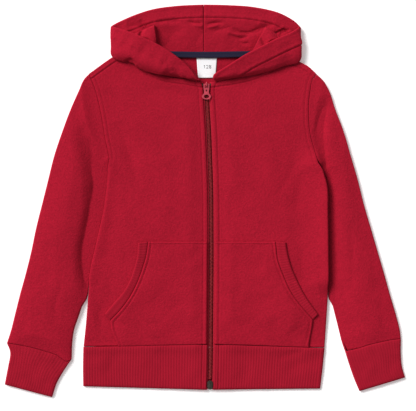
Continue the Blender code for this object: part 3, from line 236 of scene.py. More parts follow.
# hood sections from the zip round to the centre seam, the first eight across the flap, one at the corner and
# five along the top: neck seam x, y; under layer; lower or side fold; upper layer; face opening edge, each
# x, y, z of the middle of the cloth
HOOD_LEFT = (
    ((-12, 178.6), (-11.5, 179.8, 7.6), (-11, 180.8, 8.2), (-9, 181.8, 8.8), (-7, 182.4, 9)),
    ((-22, 182.4), (-22.9, 184.3, 7.7), (-24, 186.6, 9.2), (-20, 188.4, 12), (-13.5, 189.4, 12.8)),
    ((-40, 185), (-41.6, 187.8, 7.5), (-43.4, 191.6, 9.4), (-38.5, 200, 14), (-27.5, 204.5, 14.5)),
    ((-61, 188.6), (-63.6, 190.8, 7.3), (-66.5, 194.3, 9.6), (-61, 208.5, 15.5), (-50, 222, 16)),
    ((-80.5, 197.6), (-84.9, 198.7, 7), (-89.2, 201.3, 9.4), (-83.5, 219, 16), (-72.5, 235.5, 17)),
    ((-95.5, 211), (-104.5, 209, 6.2), (-111.5, 211, 8.9), (-105.5, 228.5, 16), (-95.5, 246, 17)),
    ((-106, 224), (-122.5, 216, 5.9), (-135.5, 215.5, 8.4), (-128.5, 235.5, 13), (-118, 255, 13.5)),
    ((-110.5, 231), (-128.5, 227, 5.8), (-139.6, 226.5, 8), (-139.6, 244.5, 8.8), (-137, 261, 9.2)),
    ((-109, 233), (-122.5, 240, 5.2), (-131, 250.5, 5.2), (-137.5, 257, 5), (-138.5, 263, 5.2)),
    ((-97, 229.5), (-103, 235.5, 5), (-110.5, 244.5, 5.6), (-116.5, 252.5, 5.4), (-125.5, 270, 4.6)),
    ((-76, 225.5), (-80.5, 234, 4.7), (-86.5, 244.5, 5.9), (-95.5, 260.5, 5.8), (-101.5, 280, 4.4)),
    ((-50.5, 222), (-55, 232.5, 4.6), (-62.5, 247.5, 5.9), (-71.5, 267, 5.9), (-74.5, 288, 4.4)),
    ((-25, 220.5), (-26.5, 232.5, 4.6), (-31, 250.5, 5.9), (-37, 271.5, 5.9), (-40, 292.5, 4.4)),
    ((-1.7, 219.5), (-1.7, 231, 4.6), (-1.7, 250.5, 5.9), (-1.7, 274.5, 5.9), (-1.7, 294.3, 4.4)),
)
HOOD_RIGHT = (
    ((16, 178), (15.8, 179.4, 7.4), (15.4, 180.6, 8.2), (13.6, 182.2, 8.8), (12, 183.4, 9)),
    ((24.5, 180.9), (24.5, 182.7, 7.6), (24.5, 184.9, 9.2), (20.5, 188.2, 11.5), (15.5, 190.8, 12)),
    ((47, 184.6), (49.6, 185.8, 7.3), (53, 187.9, 9.5), (47, 199.5, 14.5), (38, 205, 15)),
    ((68, 189.4), (72.4, 189, 7), (77, 190.8, 9.6), (71, 207.5, 16), (60.5, 219, 17)),
    ((89, 198.4), (94.6, 194.6, 6.4), (99.5, 195.9, 9.2), (95, 216, 16), (83, 230.5, 17)),
    ((104, 210.5), (113, 202.7, 6.1), (122, 203.5, 8.9), (119, 225, 14.5), (106.5, 242.5, 15)),
    ((111.5, 222), (128, 209, 5.9), (141.5, 209.5, 8.4), (140, 232.5, 12), (125, 250.5, 12.5)),
    ((113.5, 228.5), (132.5, 224.5, 5.8), (143.6, 224.5, 8), (143, 243.5, 8.8), (140.5, 259.5, 9.2)),
    ((112.5, 231), (125, 237.5, 5.2), (134.5, 249, 5.2), (140.5, 255, 5), (142.5, 261.5, 5.2)),
    ((99.5, 228.5), (107, 234, 5), (114.5, 243.5, 5.6), (121, 253.5, 5.4), (131, 272, 4.6)),
    ((75.5, 224.5), (81.5, 231.5, 4.7), (89.5, 244.5, 5.9), (98.5, 262.5, 5.8), (107, 283.5, 4.4)),
    ((47, 221), (51.5, 232.5, 4.6), (59.5, 248, 5.9), (66.5, 268.5, 5.9), (71, 291, 4.4)),
    ((21.5, 220), (23.5, 232.5, 4.6), (28, 250.5, 5.9), (32.5, 272, 5.9), (35, 293.5, 4.4)),
    ((-1.4, 219.5), (-1.4, 231, 4.6), (-1.4, 250.5, 5.9), (-1.4, 274.5, 5.9), (-1.4, 294.3, 4.4)),
)
FLAP_ROWS = 8         # hood sections from the zip up to and with the side fold
FOLD_SHARE = (0.2, 0.6)   # past a fold the cloth has turned this share of the way: in plan, in height
# slack under each flap: first and last hood section, section at the peak, how many sections the peak spreads
# towards the zip and away from it, peak reach
SLACK_LEFT = (2.3, 5.9, 4.5, 0.62, 1.05, 28)
SLACK_RIGHT = (2.2, 5.7, 4.72, 1.45, 0.66, 27)
# folds of each peak: where, in spreads from the peak away from the zip, half width, rise
SLACK_FOLDS = (
    ((-0.1, 0.45, 1.2), (0.5, 0.1, -2.8), (0.72, 0.2, 1), (-0.75, 0.14, -0.8)),
    ((0.1, 0.3, 2), (-0.3, 0.11, -3.2), (-0.55, 0.2, 2), (0.62, 0.16, -1.2)),
)
SLACK_SHARES = (0.28, 0.5, 0.72, 0.9)   # where its rows lie between the flap's fold and edge
SLACK_BACK_TILT = 1.0     # how much lower its last row is than the flap's edge
SLACK_PEAK_DROP = 2.6     # and how much more so at its peak
SLACK_PEAK_RISE = 2.6     # how much the cloth swells at once past the flap's edge
NECK_TAPE = ((-60, 215.4), (-1, 214.6), (70, 215.6))
NECK_TAPE_WIDTH = 9.0
NECK_TAPE_BASE = 5.1
NUMBER_AT = (-1.6, 199)   # low left corner of the size number
NUMBER_HEIGHT = 4.6
LABEL_TOP = 0.95              # label's face at the number, above the air under it
LABEL_CORNERS = ((-12.4, 215.6), (18.6, 215.4), (16.4, 184.6), (-10.2, 184.4))

# creases: points x, y of the line each follows, half widths to the left and right of that line, rise
BODY_CREASES = (
    (((-131.6, 118.3), (-107.6, 50.8), (-97, 16.8)), 10, 12, -2.3),
    (((-118, 130), (-95, 75), (-82, 30)), 10, 9, 0.5),
    (((-90.6, 172), (-50, 166), (-14.6, 155)), 8, 13, -2.2),
    (((28.5, 182), (50, 178), (78, 169)), 7, 10, -2),
    (((38, 22), (40, -10), (37, -40)), 6, 8, -0.7),
    (((-60, 60), (-52, 20), (-66, -30)), 12, 10, 0.5),
    (((90, 120), (100, 60), (92, 0)), 12, 14, 0.6),
    (((150, 70), (128, 40), (110, 5)), 8, 9, -0.9),
    (((152, 52), (140, 10), (136, -30)), 7, 8, -0.6),
    (((-136, 66), (-120, 34), (-112, -10)), 7, 7, -0.6),
    (((-150, -150), (-158, -175), (-150, -205)), 8, 9, -1.4),
    (((-172, -160), (-166, -185), (-170, -212)), 6, 6, 0.7),
    (((-126, -56), (-118, -80), (-120, -104)), 8, 6, -0.6),
    (((150, -70), (146, -100), (158, -130)), 6, 8, -0.8),
    (((172, -60), (168, -110), (176, -160)), 6, 6, 0.6),
    (((138, -120), (138, -170), (132, -225)), 50, 30, 3.4),
    (((-176, -130), (-168, -170), (-160, -225)), 20, 30, 2.4),
)
POCKET_CREASES = (
    (((-20, -132), (-62.9, -156.5), (-90, -184)), 12, 12, -4),
    (((-40, -85), (-62, -108), (-70, -130)), 10, 10, 0.5),
    (((-118, -160), (-104, -172), (-92, -192)), 6, 7, -0.7),
    (((-136, -180), (-122, -184), (-108, -196)), 3, 4, -0.7),
    (((44, -80), (52, -120), (44, -170)), 9, 9, -0.5),
    (((130, -170), (112, -176), (96, -190)), 7, 7, -0.8),
    (((152, -186), (138, -192), (124, -204)), 3.5, 4, -0.6),
    (((84, -70), (92, -100), (86, -128)), 8, 8, 0.4),
)
SLEEVE_LEFT_CREASES = (
    (((-194, 156), (-186, 110), (-176, 66), (-170, 30)), 16, 14, -3),
    (((-178, 118), (-168, 58), (-164, 30), (-166, -10), (-176, -50)), 24, 15, -3.5),
    (((-205, 130), (-196, 80), (-200, 20), (-212, -50)), 14, 12, 1.2),
    (((-169, 20), (-172, -16), (-180, -52), (-184, -88), (-183, -124)), 9, 12, -3.6),
    (((-222, 60), (-228, 20), (-240, -20)), 7, 8, -0.6),
    (((-236, -60), (-232, -100), (-244, -150)), 9, 9, -0.7),
    (((-212, -120), (-222, -150), (-226, -190)), 8, 7, -1),
    (((-262, -150), (-268, -180), (-272, -205)), 7, 7, -0.7),
    (((-168, 150), (-178, 120), (-182, 96)), 7, 8, -0.8),
)
# steps down: points x, y of the line where it is steepest, how far it reaches either way, fall; down to the
# left hand of that line
SLEEVE_LEFT_STEPS = (
    (((-182, 112), (-173, 50.8), (-171.2, 23.8), (-170.4, -6.2), (-171.6, -22.7), (-177, -46.7),
      (-183.6, -76.7), (-184.6, -100.7), (-184.6, -123.2), (-187, -162)), 15, 9, 7.6),
    (((-170, 4), (-174, -34), (-182.4, -74), (-183.8, -100), (-183, -134)), 10, 7, 4.4),
)
SLEEVE_RIGHT_CREASES = (
    (((186, 158), (174.5, 118), (172.5, 92), (182, 50)), 12, 15, -6.4),
    (((176, 66), (184, 20), (186, -40), (187, -100), (190, -150)), 14, 17, -3.4),
    (((186, 150), (177, 118), (173.5, 92), (175.5, 66), (182, 36)), 6, 9, -3.4),
    (((218, -30), (222, -80), (220, -140)), 6, 8, -1),
    (((206, 90), (212, 40), (216, -10)), 10, 12, 0.8),
    (((240, -40), (246, -90), (240, -140)), 10, 9, 0.6),
    (((204, -120), (212, -150), (226, -186)), 7, 6, -1),
    (((268, -130), (264, -165), (272, -198)), 7, 7, -0.7),
    (((190, 130), (200, 100), (204, 70)), 6, 7, -0.6),
)
HEM_CREASES = (
    (((150, -225), (132, -229), (110, -238.5)), 4, 5, -1.5),
    (((158, -240), (138, -247), (120, -262)), 7, 6, -0.6),
    (((-150, -222), (-140, -240), (-148, -262)), 8, 9, -0.8),
    (((-70, -224), (-64, -240), (-70, -268)), 8, 7, -0.5),
    (((60, -224), (66, -250), (58, -276)), 8, 9, -0.5),
)
BACK_CREASES = (
    (((-150, 40), (-90, 10), (-60, -60)), 10, 8, 0.9),
    (((150, 60), (110, 20), (96, -50)), 9, 9, 0.8),
    (((-30, 150), (-20, 60), (-34, -40)), 12, 10, 0.6),
    (((60, 120), (50, 30), (66, -90)), 9, 12, 0.7),
    (((-140, -90), (-110, -140), (-116, -205)), 9, 8, 0.8),
    (((120, -100), (104, -150), (116, -206)), 8, 9, 0.8),
    (((-8, -110), (6, -160), (-4, -210)), 10, 8, 0.6),
)
# wrinkles of the hood halves (0 left, 1 right), on the flaps and on the inside that shows
HOOD_FLAP_CREASES = (
    ((((-137, 215), (-108, 205), (-70, 193), (-28, 187)), 14, 6, 2.6),
     (((-134, 224), (-118, 238), (-108, 250)), 6, 7, -1),
     (((-104, 208), (-92, 222), (-86, 236)), 7, 6, -0.7),
     (((-66, 198), (-58, 208), (-54, 218)), 4, 5, -0.9),
     (((-128, 248), (-112, 246), (-98, 238)), 6, 6, 0.5),
     (((-120, 210), (-110, 213), (-102, 206)), 2, 3, -3.6),
     (((-62, 194), (-48, 196), (-34, 190)), 3, 5, -2),
     (((-50, 204), (-36, 203), (-24, 200)), 4, 4, -0.7)),
    ((((142, 218), (124, 226), (112, 240)), 6, 6, -0.9),
     (((134, 216), (100, 205), (60, 194)), 9, 7, -1.8),
     (((108, 205), (98, 216), (94, 230)), 6, 7, -0.6),
     (((72, 194), (62, 204), (56, 214)), 5, 5, -0.7),
     (((132, 240), (118, 238), (104, 228)), 5, 6, 0.6)),
)
HOOD_INSIDE_CREASES = (
    ((((-116, 262), (-98, 262), (-82, 254)), 7, 5, -3),
     (((-17.6, 265), (-10, 262), (-3, 261)), 2.2, 3, 2),
     (((-26, 269), (-12, 266.5), (-3, 266)), 2.5, 2.5, -2.2),
     (((-74, 266), (-60, 269), (-36, 268.5)), 3.5, 3, -1.8),
     (((-60, 230), (-52, 244), (-50, 262)), 9, 9, -1.4),
     (((-30, 226), (-24, 240), (-30, 258)), 8, 7, 0.9),
     (((-14, 236), (-8, 246), (-3, 254)), 4, 4, -0.9),
     (((-96, 272), (-92, 264), (-86, 256)), 3, 4, -1.8)),
    ((((104, 266), (90, 261), (72, 253)), 4.5, 4.5, -3.2),
     (((3, 259.5), (12, 261), (22, 264.5)), 2, 2.5, 2.2),
     (((3, 265), (12, 266.5), (28, 267.5)), 2.4, 2.5, -2.4),
     (((10, 254), (24, 257), (40, 262)), 2.6, 3, -1),
     (((36, 250), (52, 244), (66, 247)), 2.4, 3.6, -2.6),
     (((42, 258), (58, 252), (84, 257)), 2.4, 3.4, -2.8),
     (((34, 254), (50, 249), (64, 251)), 2, 2.4, 1.2),
     (((50, 240), (60, 236), (68, 238)), 2.4, 3, -2),
     (((102, 244), (108, 252), (122, 258)), 2.5, 2.5, -3),
     (((112, 248), (118, 254), (128, 257)), 2, 2.5, -2.4),
     (((106, 252), (112, 257), (120, 261)), 1.8, 2, 1.4),
     (((30, 226), (28, 240), (34, 256)), 8, 8, 0.8)),
)


def pairs(first, second):
    """Pairs of values, both stretched to one shape."""
    return np.stack(np.broadcast_arrays(first, second), axis=-1)


def unit(vectors):
    """Vectors divided by their lengths."""
    return vectors / np.linalg.norm(vectors, axis=-1, keepdims=True)


def lengths(points, axis=0):
    """Length along a line or a grid of points, up to each from 0 at the first."""
    step = np.linalg.norm(np.diff(points, axis=axis), axis=-1)
    return np.cumsum(np.insert(step, 0, 0.0, axis=axis), axis=axis)


def cubic(a, b, slope_a, slope_b, t):
    """The cubic from a to b with the given slopes at its ends, t running from 0 to 1."""
    return (a * (2 * t**3 - 3 * t**2 + 1) + slope_a * (t**3 - 2 * t**2 + t)
            + b * (3 * t**2 - 2 * t**3) + slope_b * (t**3 - t**2))


def fine_line(points, steps=16):
    """A smooth curve through the points, as cubic pieces whose end slopes are weighted by the spans either
    side: its fine points, and the length up to each."""
    p = np.array(points, float)
    span = np.linalg.norm(np.diff(p, axis=0), axis=1)
    slope = np.diff(p, axis=0) / span[:, None]
    tangent = np.empty_like(p)
    tangent[0], tangent[-1] = slope[0], slope[-1]
    before, after = span[:-1, None], span[1:, None]
    tangent[1:-1] = (slope[:-1] * after + slope[1:] * before) / (before + after)
    t = np.linspace(0.0, 1.0, steps, endpoint=False)[None, :, None]
    pieces = cubic(p[:-1, None], p[1:, None], tangent[:-1, None] * span[:, None, None],
                   tangent[1:, None] * span[:, None, None], t)
    fine = np.vstack((pieces.reshape(-1, p.shape[1]), p[-1:]))
    return fine, lengths(fine)


def line_at(points, shares):
    """Points of the smooth curve at the given shares of its length."""
    fine, along = fine_line(points)
    wanted = np.asarray(shares) * along[-1]
    return np.stack([np.interp(wanted, along, fine[:, k]) for k in range(fine.shape[1])], axis=-1)


def smooth_line(points, count):
    """Evenly spaced points of the smooth curve."""
    return line_at(points, np.linspace(0.0, 1.0, count))


def joined(first, second, split, shares):
    """Two curves end to end: the first takes the shares up to the split, the second the rest."""
    early = line_at(first, np.clip(shares / split, 0, 1))
    late = line_at(second, np.clip((shares - split) / (1 - split), 0, 1))
    return np.where((shares <= split)[:, None], early, late)


def crowded(count, amount=0.6):
    """Stations from 0 to 1 that lie closer together near both ends: t less a share of one sine wave."""
    t = np.linspace(0.0, 1.0, count)
    return t - amount * np.sin(2 * np.pi * t) / (2 * np.pi)


def ease(low, high, value):
    """0 up to `low`, 1 from `high`, a smooth S between."""
    t = np.clip((value - low) / (high - low), 0, 1)
    return t * t * (3 - 2 * t)


def rolled(distance, reach):
    """A rolled edge: a quarter circle from 0 at the edge to 1 at `reach` from it."""
    return np.sqrt(1 - (1 - np.clip(distance / reach, 0, 1)) ** 2)


def groove(distance, half_width):
    """A bell of height 1 about distance 0."""
    return np.exp(-(distance / half_width) ** 2)


def from_line(x, y, line):
    """Distance of plan points from a line, the share of its points passed at the nearest place, and
    whether they lie on its right hand."""
    a, step = line[:-1], np.diff(line, axis=0)
    dx, dy = x[..., None] - a[:, 0], y[..., None] - a[:, 1]
    t = np.clip((dx * step[:, 0] + dy * step[:, 1]) / (step**2).sum(axis=1), 0, 1)
    gap = np.hypot(dx - t * step[:, 0], dy - t * step[:, 1])
    nearest = gap.argmin(axis=-1)[..., None]
    turn = np.take_along_axis(dx * step[:, 1] - dy * step[:, 0], nearest, -1)[..., 0]
    share = (nearest[..., 0] + np.take_along_axis(t, nearest, -1)[..., 0]) / len(a)
    return np.take_along_axis(gap, nearest, -1)[..., 0], share, turn > 0


def off(x, y, *lines):
    """Distance of plan points from each of the lines."""
    return [from_line(x, y, line)[0] for line in lines]


def creases(table, x, y):
    """Sum of the creases: each deepest half way along its line, nothing at its ends, and falling off
    sideways as exp(-(distance / half width) ** 1.5)."""
    total = np.zeros_like(x)
    for points, left, right, rise in table:
        gap, share, on_right = from_line(x, y, smooth_line(points, 6 * len(points)))
        swell = np.sin(np.pi * share) ** 0.6
        total += rise * swell * np.exp(-(gap / np.where(on_right, right, left)) ** 1.5)
    return total


def steps_down(table, x, y):
    """Sum of the steps: from nothing on a line's right hand to the whole fall on its left hand, eased
    over its reach to the high side and to the low side, and fading out at both ends of the line."""
    total = np.zeros_like(x)
    for points, high_side, low_side, fall in table:
        gap, share, on_right = from_line(x, y, smooth_line(points, 6 * len(points)))
        past = np.where(on_right, -gap / high_side, gap / low_side)
        total -= fall * np.sin(np.pi * share) ** 0.8 * ease(-1.0, 1.0, past)
    return total


def uneven(x, y, seed, wave=60.0, rise=0.3):
    """Soft unevenness of laid cloth: sine waves in turning directions, bent by slower waves across."""
    total = np.zeros_like(x)
    for k in range(8):
        turn = 2.4 * k + seed
        length = wave * (0.55 + 0.17 * k)
        along = (x * math.cos(turn) + y * math.sin(turn)) / length
        across = (y * math.cos(turn) - x * math.sin(turn)) / (1.7 * length)
        total += np.sin(2 * np.pi * along + 1.9 * k * seed + 1.2 * np.sin(2 * np.pi * across + k))
    return rise * total / math.sqrt(8)


def zip_x(y):
    """X of the zip's centre line at height y of the garment."""
    fine = smooth_line(ZIP_LINE, 120)
    return np.interp(y, fine[:, 0], fine[:, 1])


def zip_half_open(y):
    """Zip centre line to the fabric edge: constant, flaring in the last few millimetres at the top."""
    return ZIP_HALF_OPEN + ZIP_FLARE * np.clip((y - ZIP_TOP + ZIP_FLARE_REACH) / ZIP_FLARE_REACH, 0, 1) ** 2


def front_low(x, y):
    """Underside of the front panels: their seam height, a climb onto the zip tapes, and the slack
    between zip and side as half a sine wave each way."""
    d = np.abs(x - zip_x(y))
    fall = np.clip((d - ZIP_LIFT_FLAT) / (ZIP_LIFT_REACH - ZIP_LIFT_FLAT), 0, 1)
    climb = ZIP_LIFT * (0.5 + 0.5 * np.cos(np.pi * fall))
    across = np.sin(np.pi * np.clip(d / FRONT_HALF, 0, 1))
    down = np.sin(np.pi * np.clip((y - FRONT_LOW) / (FRONT_HIGH - FRONT_LOW), 0, 1)) ** 0.5
    return FRONT_BASE + climb + FRONT_CROWN * across * down


def front_folds(x, y):
    """Air under the front, its creases and its unevenness, fading out over the zip tapes and at the hem and
    neck, and the air towards the armholes and sides."""
    past_tape = ease(14.0, 34.0, np.abs(x - zip_x(y)))
    down = np.clip(3 * np.sin(np.pi * np.clip((y - FRONT_LOW) / (FRONT_HIGH - FRONT_LOW), 0, 1)), 0, 1)
    air = FRONT_AIR * (1 - ease(118.0, 146.0, np.abs(x)))
    return past_tape * down * (air + creases(BODY_CREASES, x, y) + uneven(x, y, 1.3, 70.0, 0.28))


def front_under(x, y):
    """Underside of the front panels with their folds."""
    return np.maximum(front_low(x, y) + front_folds(x, y), FRONT_LEAST)


def at_height(plan, height):
    """Adds a height to plan points."""
    return np.concatenate((plan, np.broadcast_to(height, plan.shape[:-1])[..., None]), axis=-1)


def panel(bottom, top, inner, outer, u, v):
    """Grid filled between four edge lines: the two ruled surfaces less the bilinear one."""
    u, v = u[None, :, None], v[:, None, None]
    corners = ((1 - u) * (1 - v) * bottom[0] + u * (1 - v) * bottom[-1]
               + (1 - u) * v * top[0] + u * v * top[-1])
    return (1 - u) * inner[:, None] + u * outer[:, None] + (1 - v) * bottom[None] + v * top[None] - corners


def right_of(line):
    """Unit vectors to the right hand of a line in plan."""
    run = unit(np.gradient(line, axis=0))
    return pairs(run[:, 1], -run[:, 0])


def drawn_in(plan, distance):
    """Draws a plan grid's border in by a distance, for the air at the seams."""
    out = plan.copy()
    for old, new in ((plan, out), (plan.swapaxes(0, 1), out.swapaxes(0, 1))):
        for end, inner in ((0, 1), (-1, -2)):
            normal = right_of(old[end])
            side = np.sign(np.sum(np.sum(normal * (old[inner] - old[end]), axis=1)))
            new[end] += side * distance * normal
    return out


def between_rows(points, wanted):
    """Smooth values between table rows: cubic pieces with slopes from the rows either side."""
    slope = np.gradient(points, axis=0)
    lower = np.clip(np.floor(wanted).astype(int), 0, len(points) - 2)
    t = (wanted - lower).reshape((-1,) + (1,) * (points.ndim - 1))
    return cubic(points[lower], points[lower + 1], slope[lower], slope[lower + 1], t)


def between_columns(grid, wanted):
    """Points of a grid at broken column numbers, straight between its columns."""
    left = np.floor(wanted).astype(int).clip(0, grid.shape[1] - 2)
    part = (wanted - left)[None, :, None]
    return grid[:, left] * (1 - part) + grid[:, left + 1] * part


def placed(name, data):
    """A new object in the scene, holding the data."""
    made = bpy.data.objects.new(name, data)
    bpy.context.scene.collection.objects.link(made)
    return made


def put_mesh(name, points, blocks, surface, uv, same=None):
    """A smooth-shaded mesh object from points in millimetres and arrays of faces, turned outward by its
    signed volume. `uv` is per point in millimetres of cloth. `same` joins points that are one place."""
    same = np.arange(len(points)) if same is None else same
    volume = 0.0
    for block in blocks:
        corner = points[block]
        for k in range(1, block.shape[1] - 1):
            volume += np.einsum("ij,ij->", corner[:, 0], np.cross(corner[:, k], corner[:, k + 1]))
    if volume < 0:
        blocks = [block[:, ::-1] for block in blocks]
    loops = np.concatenate([block.ravel() for block in blocks])
    used, joined_loops = np.unique(same[loops], return_inverse=True)
    sizes = np.concatenate([np.full(len(block), block.shape[1]) for block in blocks])
    mesh = bpy.data.meshes.new(name)
    mesh.vertices.add(len(used))
    mesh.vertices.foreach_set("co", (points[used] * MM).ravel())
    mesh.loops.add(len(loops))
    mesh.loops.foreach_set("vertex_index", joined_loops.astype(np.int32))
    mesh.polygons.add(len(sizes))
    mesh.polygons.foreach_set("loop_start", np.concatenate(([0], np.cumsum(sizes)[:-1])).astype(np.int32))
    mesh.polygons.foreach_set("use_smooth", np.ones(len(sizes), bool))
    layer = mesh.uv_layers.new(name="cloth")
    layer.data.foreach_set("uv", (uv[loops] * MM).ravel().astype(np.float32))
    mesh.materials.append(surface)
    mesh.update(calc_edges=True)
    mesh.validate()
    made = placed(name, mesh)
    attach(made, "garment")
    return made


def grid_faces(number):
    """Quads of a grid of point numbers."""
    corners = (number[:-1, :-1], number[:-1, 1:], number[1:, 1:], number[1:, :-1])
    return np.stack(corners, axis=-1).reshape(-1, 4)


def border_faces(fine, coarse, step):
    """Faces between a fine border and a coarser one, each along one edge of the coarse one."""
    last = len(fine) - step
    runs = np.stack([fine[k:last + k:step] for k in range(step + 1)], axis=1)
    return np.column_stack((runs, coarse[1:], coarse[:-1]))


def cloth_wall(name, high, low, surface, uv, steps=(3, 3), closed=False):
    """A closed cloth wall: a fine outer grid, every few rows and columns of an inner grid, and a strip of
    faces round the border. A closed wall is a tube: its last column is its first one again."""
    rows, columns = high.shape[:2]
    coarse = low[::steps[0], ::steps[1]]
    points = np.vstack((high.reshape(-1, 3), coarse.reshape(-1, 3)))
    places = np.vstack((uv.reshape(-1, 2), uv[::steps[0], ::steps[1]].reshape(-1, 2)))
    top = np.arange(rows * columns).reshape(rows, columns)
    under = rows * columns + np.arange(coarse.shape[0] * coarse.shape[1]).reshape(coarse.shape[:2])
    blocks = [grid_faces(top), grid_faces(under)[:, ::-1],
              border_faces(top[0], under[0], steps[1])[:, ::-1], border_faces(top[-1], under[-1], steps[1])]
    same = np.arange(len(points))
    if closed:
        same[top[:, -1]], same[under[:, -1]] = top[:, 0], under[:, 0]
    else:
        blocks += [border_faces(top[:, 0], under[:, 0], steps[0]),
                   border_faces(top[:, -1], under[:, -1], steps[0])[:, ::-1]]
    return put_mesh(name, points, blocks, surface, places, same)


def wall_over(name, plan, low, rise, surface, uv=None, steps=(3, 3)):
    """A cloth wall that stands `rise` over the heights `low` of its plan points."""
    return cloth_wall(name, at_height(plan, low + rise), at_height(plan, low), surface,
                      plan if uv is None else uv, steps)


def instead(made, node):
    """A finished piece, set in the place of its CAD node."""
    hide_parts(node)
    return made


def front_grid():
    """Stations of a front's grid, across and along."""
    return crowded(127, 0.5), crowded(247)


def front_edges(sign, hem, side, armhole, neck, shoulder):
    """The four edge lines of a front: hem seam, neck and shoulder seams, zip edge, side and armhole."""
    u, v = front_grid()
    y = hem[-1][1] + (ZIP_TOP - hem[-1][1]) * v
    inner = pairs(zip_x(y) + sign * zip_half_open(y), y)
    bottom = line_at(hem, 1 - u)
    outer = joined(side, armhole, SIDE_SHARE, v)
    top = joined(neck, shoulder, NECK_SHARE, u)
    bottom[0], top[0] = inner[0], inner[-1]
    return bottom, top, inner, outer


def front_rise(x, y, edges):
    """Height of a front's outer face over its underside: the cloth, rolled down at the seams and at the
    zip edge, standing up as a soft ridge along the side, with grooves along the rows of stitches."""
    bottom, top, inner, outer = edges
    side_end = int(np.argmin(np.abs(crowded(len(outer)) - SIDE_SHARE)))
    hem, neck, by_zip, side, armhole = off(x, y, bottom[::3], top[::3], inner[::3],
                                           outer[:side_end + 1:3], outer[side_end::3])
    seam = np.minimum(np.minimum(hem, neck), armhole)
    turn = SIDE_RIDGES[int(outer[0, 0] > 0)][2]
    rise = FLEECE + side_ridge(x, y)
    rise += 0.6 * groove(by_zip - 3.4, 3.0) - 0.6 * groove(by_zip - ZIP_STITCH, 1.0)
    rise += 1.3 * groove(armhole, 26.0) * ease(40.0, 90.0, hem)
    rise += (0.35 * groove(hem - 2.0, 1.1) + 0.25 * groove(seam - 3.2, 1.8)
             + 0.6 * groove(neck - 6.0, 1.5) - 0.6 * groove(neck - 8.6, 1.2))
    rise += 0.12 * groove(armhole - 9.0, 2.2) - 0.3 * groove(armhole - 6.2, 1.2)
    above_pocket = ease(6.0, 12.0, by_zip) * (1 - ease(108.0, 114.0, np.abs(x - 10.0)))
    rise += 0.5 * groove(y - POCKET_HIGH - 1.9, 1.2) * above_pocket
    rise -= 0.45 * (1 - rolled(seam, 1.4))
    armpit = outer[side_end]
    side = side + 4.0 * (1 - ease(2.0, 22.0, np.hypot(x - armpit[0], y - armpit[1])))
    return 0.6 + (rise - 0.6) * rolled(side, turn) * rolled(by_zip, 1.5)


def side_ridge(x, y):
    """How far the body stands up beside its sides, where the sleeves lie against it."""
    total = np.zeros_like(x)
    for (stands, spread, _), line in zip(SIDE_RIDGES, (SIDE_LEFT, SIDE_RIGHT)):
        gap = off(x, y, smooth_line(line, 60))[0]
        total += stands * groove(gap, spread) * ease(*SLEEVE_LEAVES, y) * (1 - ease(*SIDE_RIDGE_ENDS, y))
    return total


def over_sleeve(x, y, side):
    """How much a front's side edge is lifted onto the sleeve and reaches over it, from 0 to 1."""
    line = smooth_line(side, 60)
    gap = off(x, y, line)[0]
    armpit, run_out = line[-1, 1], SIDE_RUN_OUT[int(line[0, 0] > 0)]
    return groove(gap, 10.0) * ease(*SLEEVE_LEAVES, y) * (1 - ease(armpit - run_out, armpit - 1.0, y))


def front(name, sign, edges, side, surface):
    """A front panel, from the zip to the side and armhole, and from the hem seam to the neck."""
    plan = drawn_in(panel(*edges, *front_grid()), EDGE_INSET)
    x, y = plan[..., 0], plan[..., 1]
    over = over_sleeve(x, y, side)
    base = front_under(x, y) + SIDE_LIFT[int(sign > 0)] * over
    rise = front_rise(x, y, edges)
    plan[..., 0] += sign * SIDE_OVER * over**4
    return instead(wall_over(name + "_cloth", plan, base, rise, surface), name)


def back_panel(surface):
    """The back: flat where it rests, with shallow creases lifted off the floor."""
    u, v = crowded(163, 0.4), crowded(205)
    hem = line_at(HEM_SEAM_BACK, u)
    left, right = (joined(side, armhole, SIDE_SHARE, v)
                   for side, armhole in ((SIDE_LEFT, ARMHOLE_LEFT), (SIDE_RIGHT, ARMHOLE_RIGHT)))
    neck_end = 1 - BACK_SHOULDER
    shoulder_left = line_at(SHOULDER_LEFT[::-1], np.clip(u / BACK_SHOULDER, 0, 1))
    shoulder_right = line_at(SHOULDER_RIGHT, np.clip((u - neck_end) / BACK_SHOULDER, 0, 1))
    neck = line_at(NECK_BACK, np.clip((u - BACK_SHOULDER) / (neck_end - BACK_SHOULDER), 0, 1))
    top = np.where((u >= neck_end)[:, None], shoulder_right, neck)
    top = np.where((u <= BACK_SHOULDER)[:, None], shoulder_left, top)
    plan = drawn_in(panel(hem, top, left, right, u, v), EDGE_INSET)
    x, y = plan[..., 0], plan[..., 1]
    border = np.minimum.reduce(off(x, y, *(line[::3] for line in (hem, top, left, right))))
    lift = np.clip(creases(BACK_CREASES, x, y) + uneven(x, y, 2.1, 60.0, 0.25), 0, 0.95)
    lift = lift * ease(1.0, 14.0, border) + 0.8 * (1 - rolled(border, 2.2)) + 0.3 * groove(border - 6.0, 0.8)
    inside = FLEECE - 0.35 * (1 - rolled(border, 1.5))
    made = cloth_wall("back_body", at_height(plan, lift), at_height(plan, inside), surface, plan)
    return instead(made, "back")


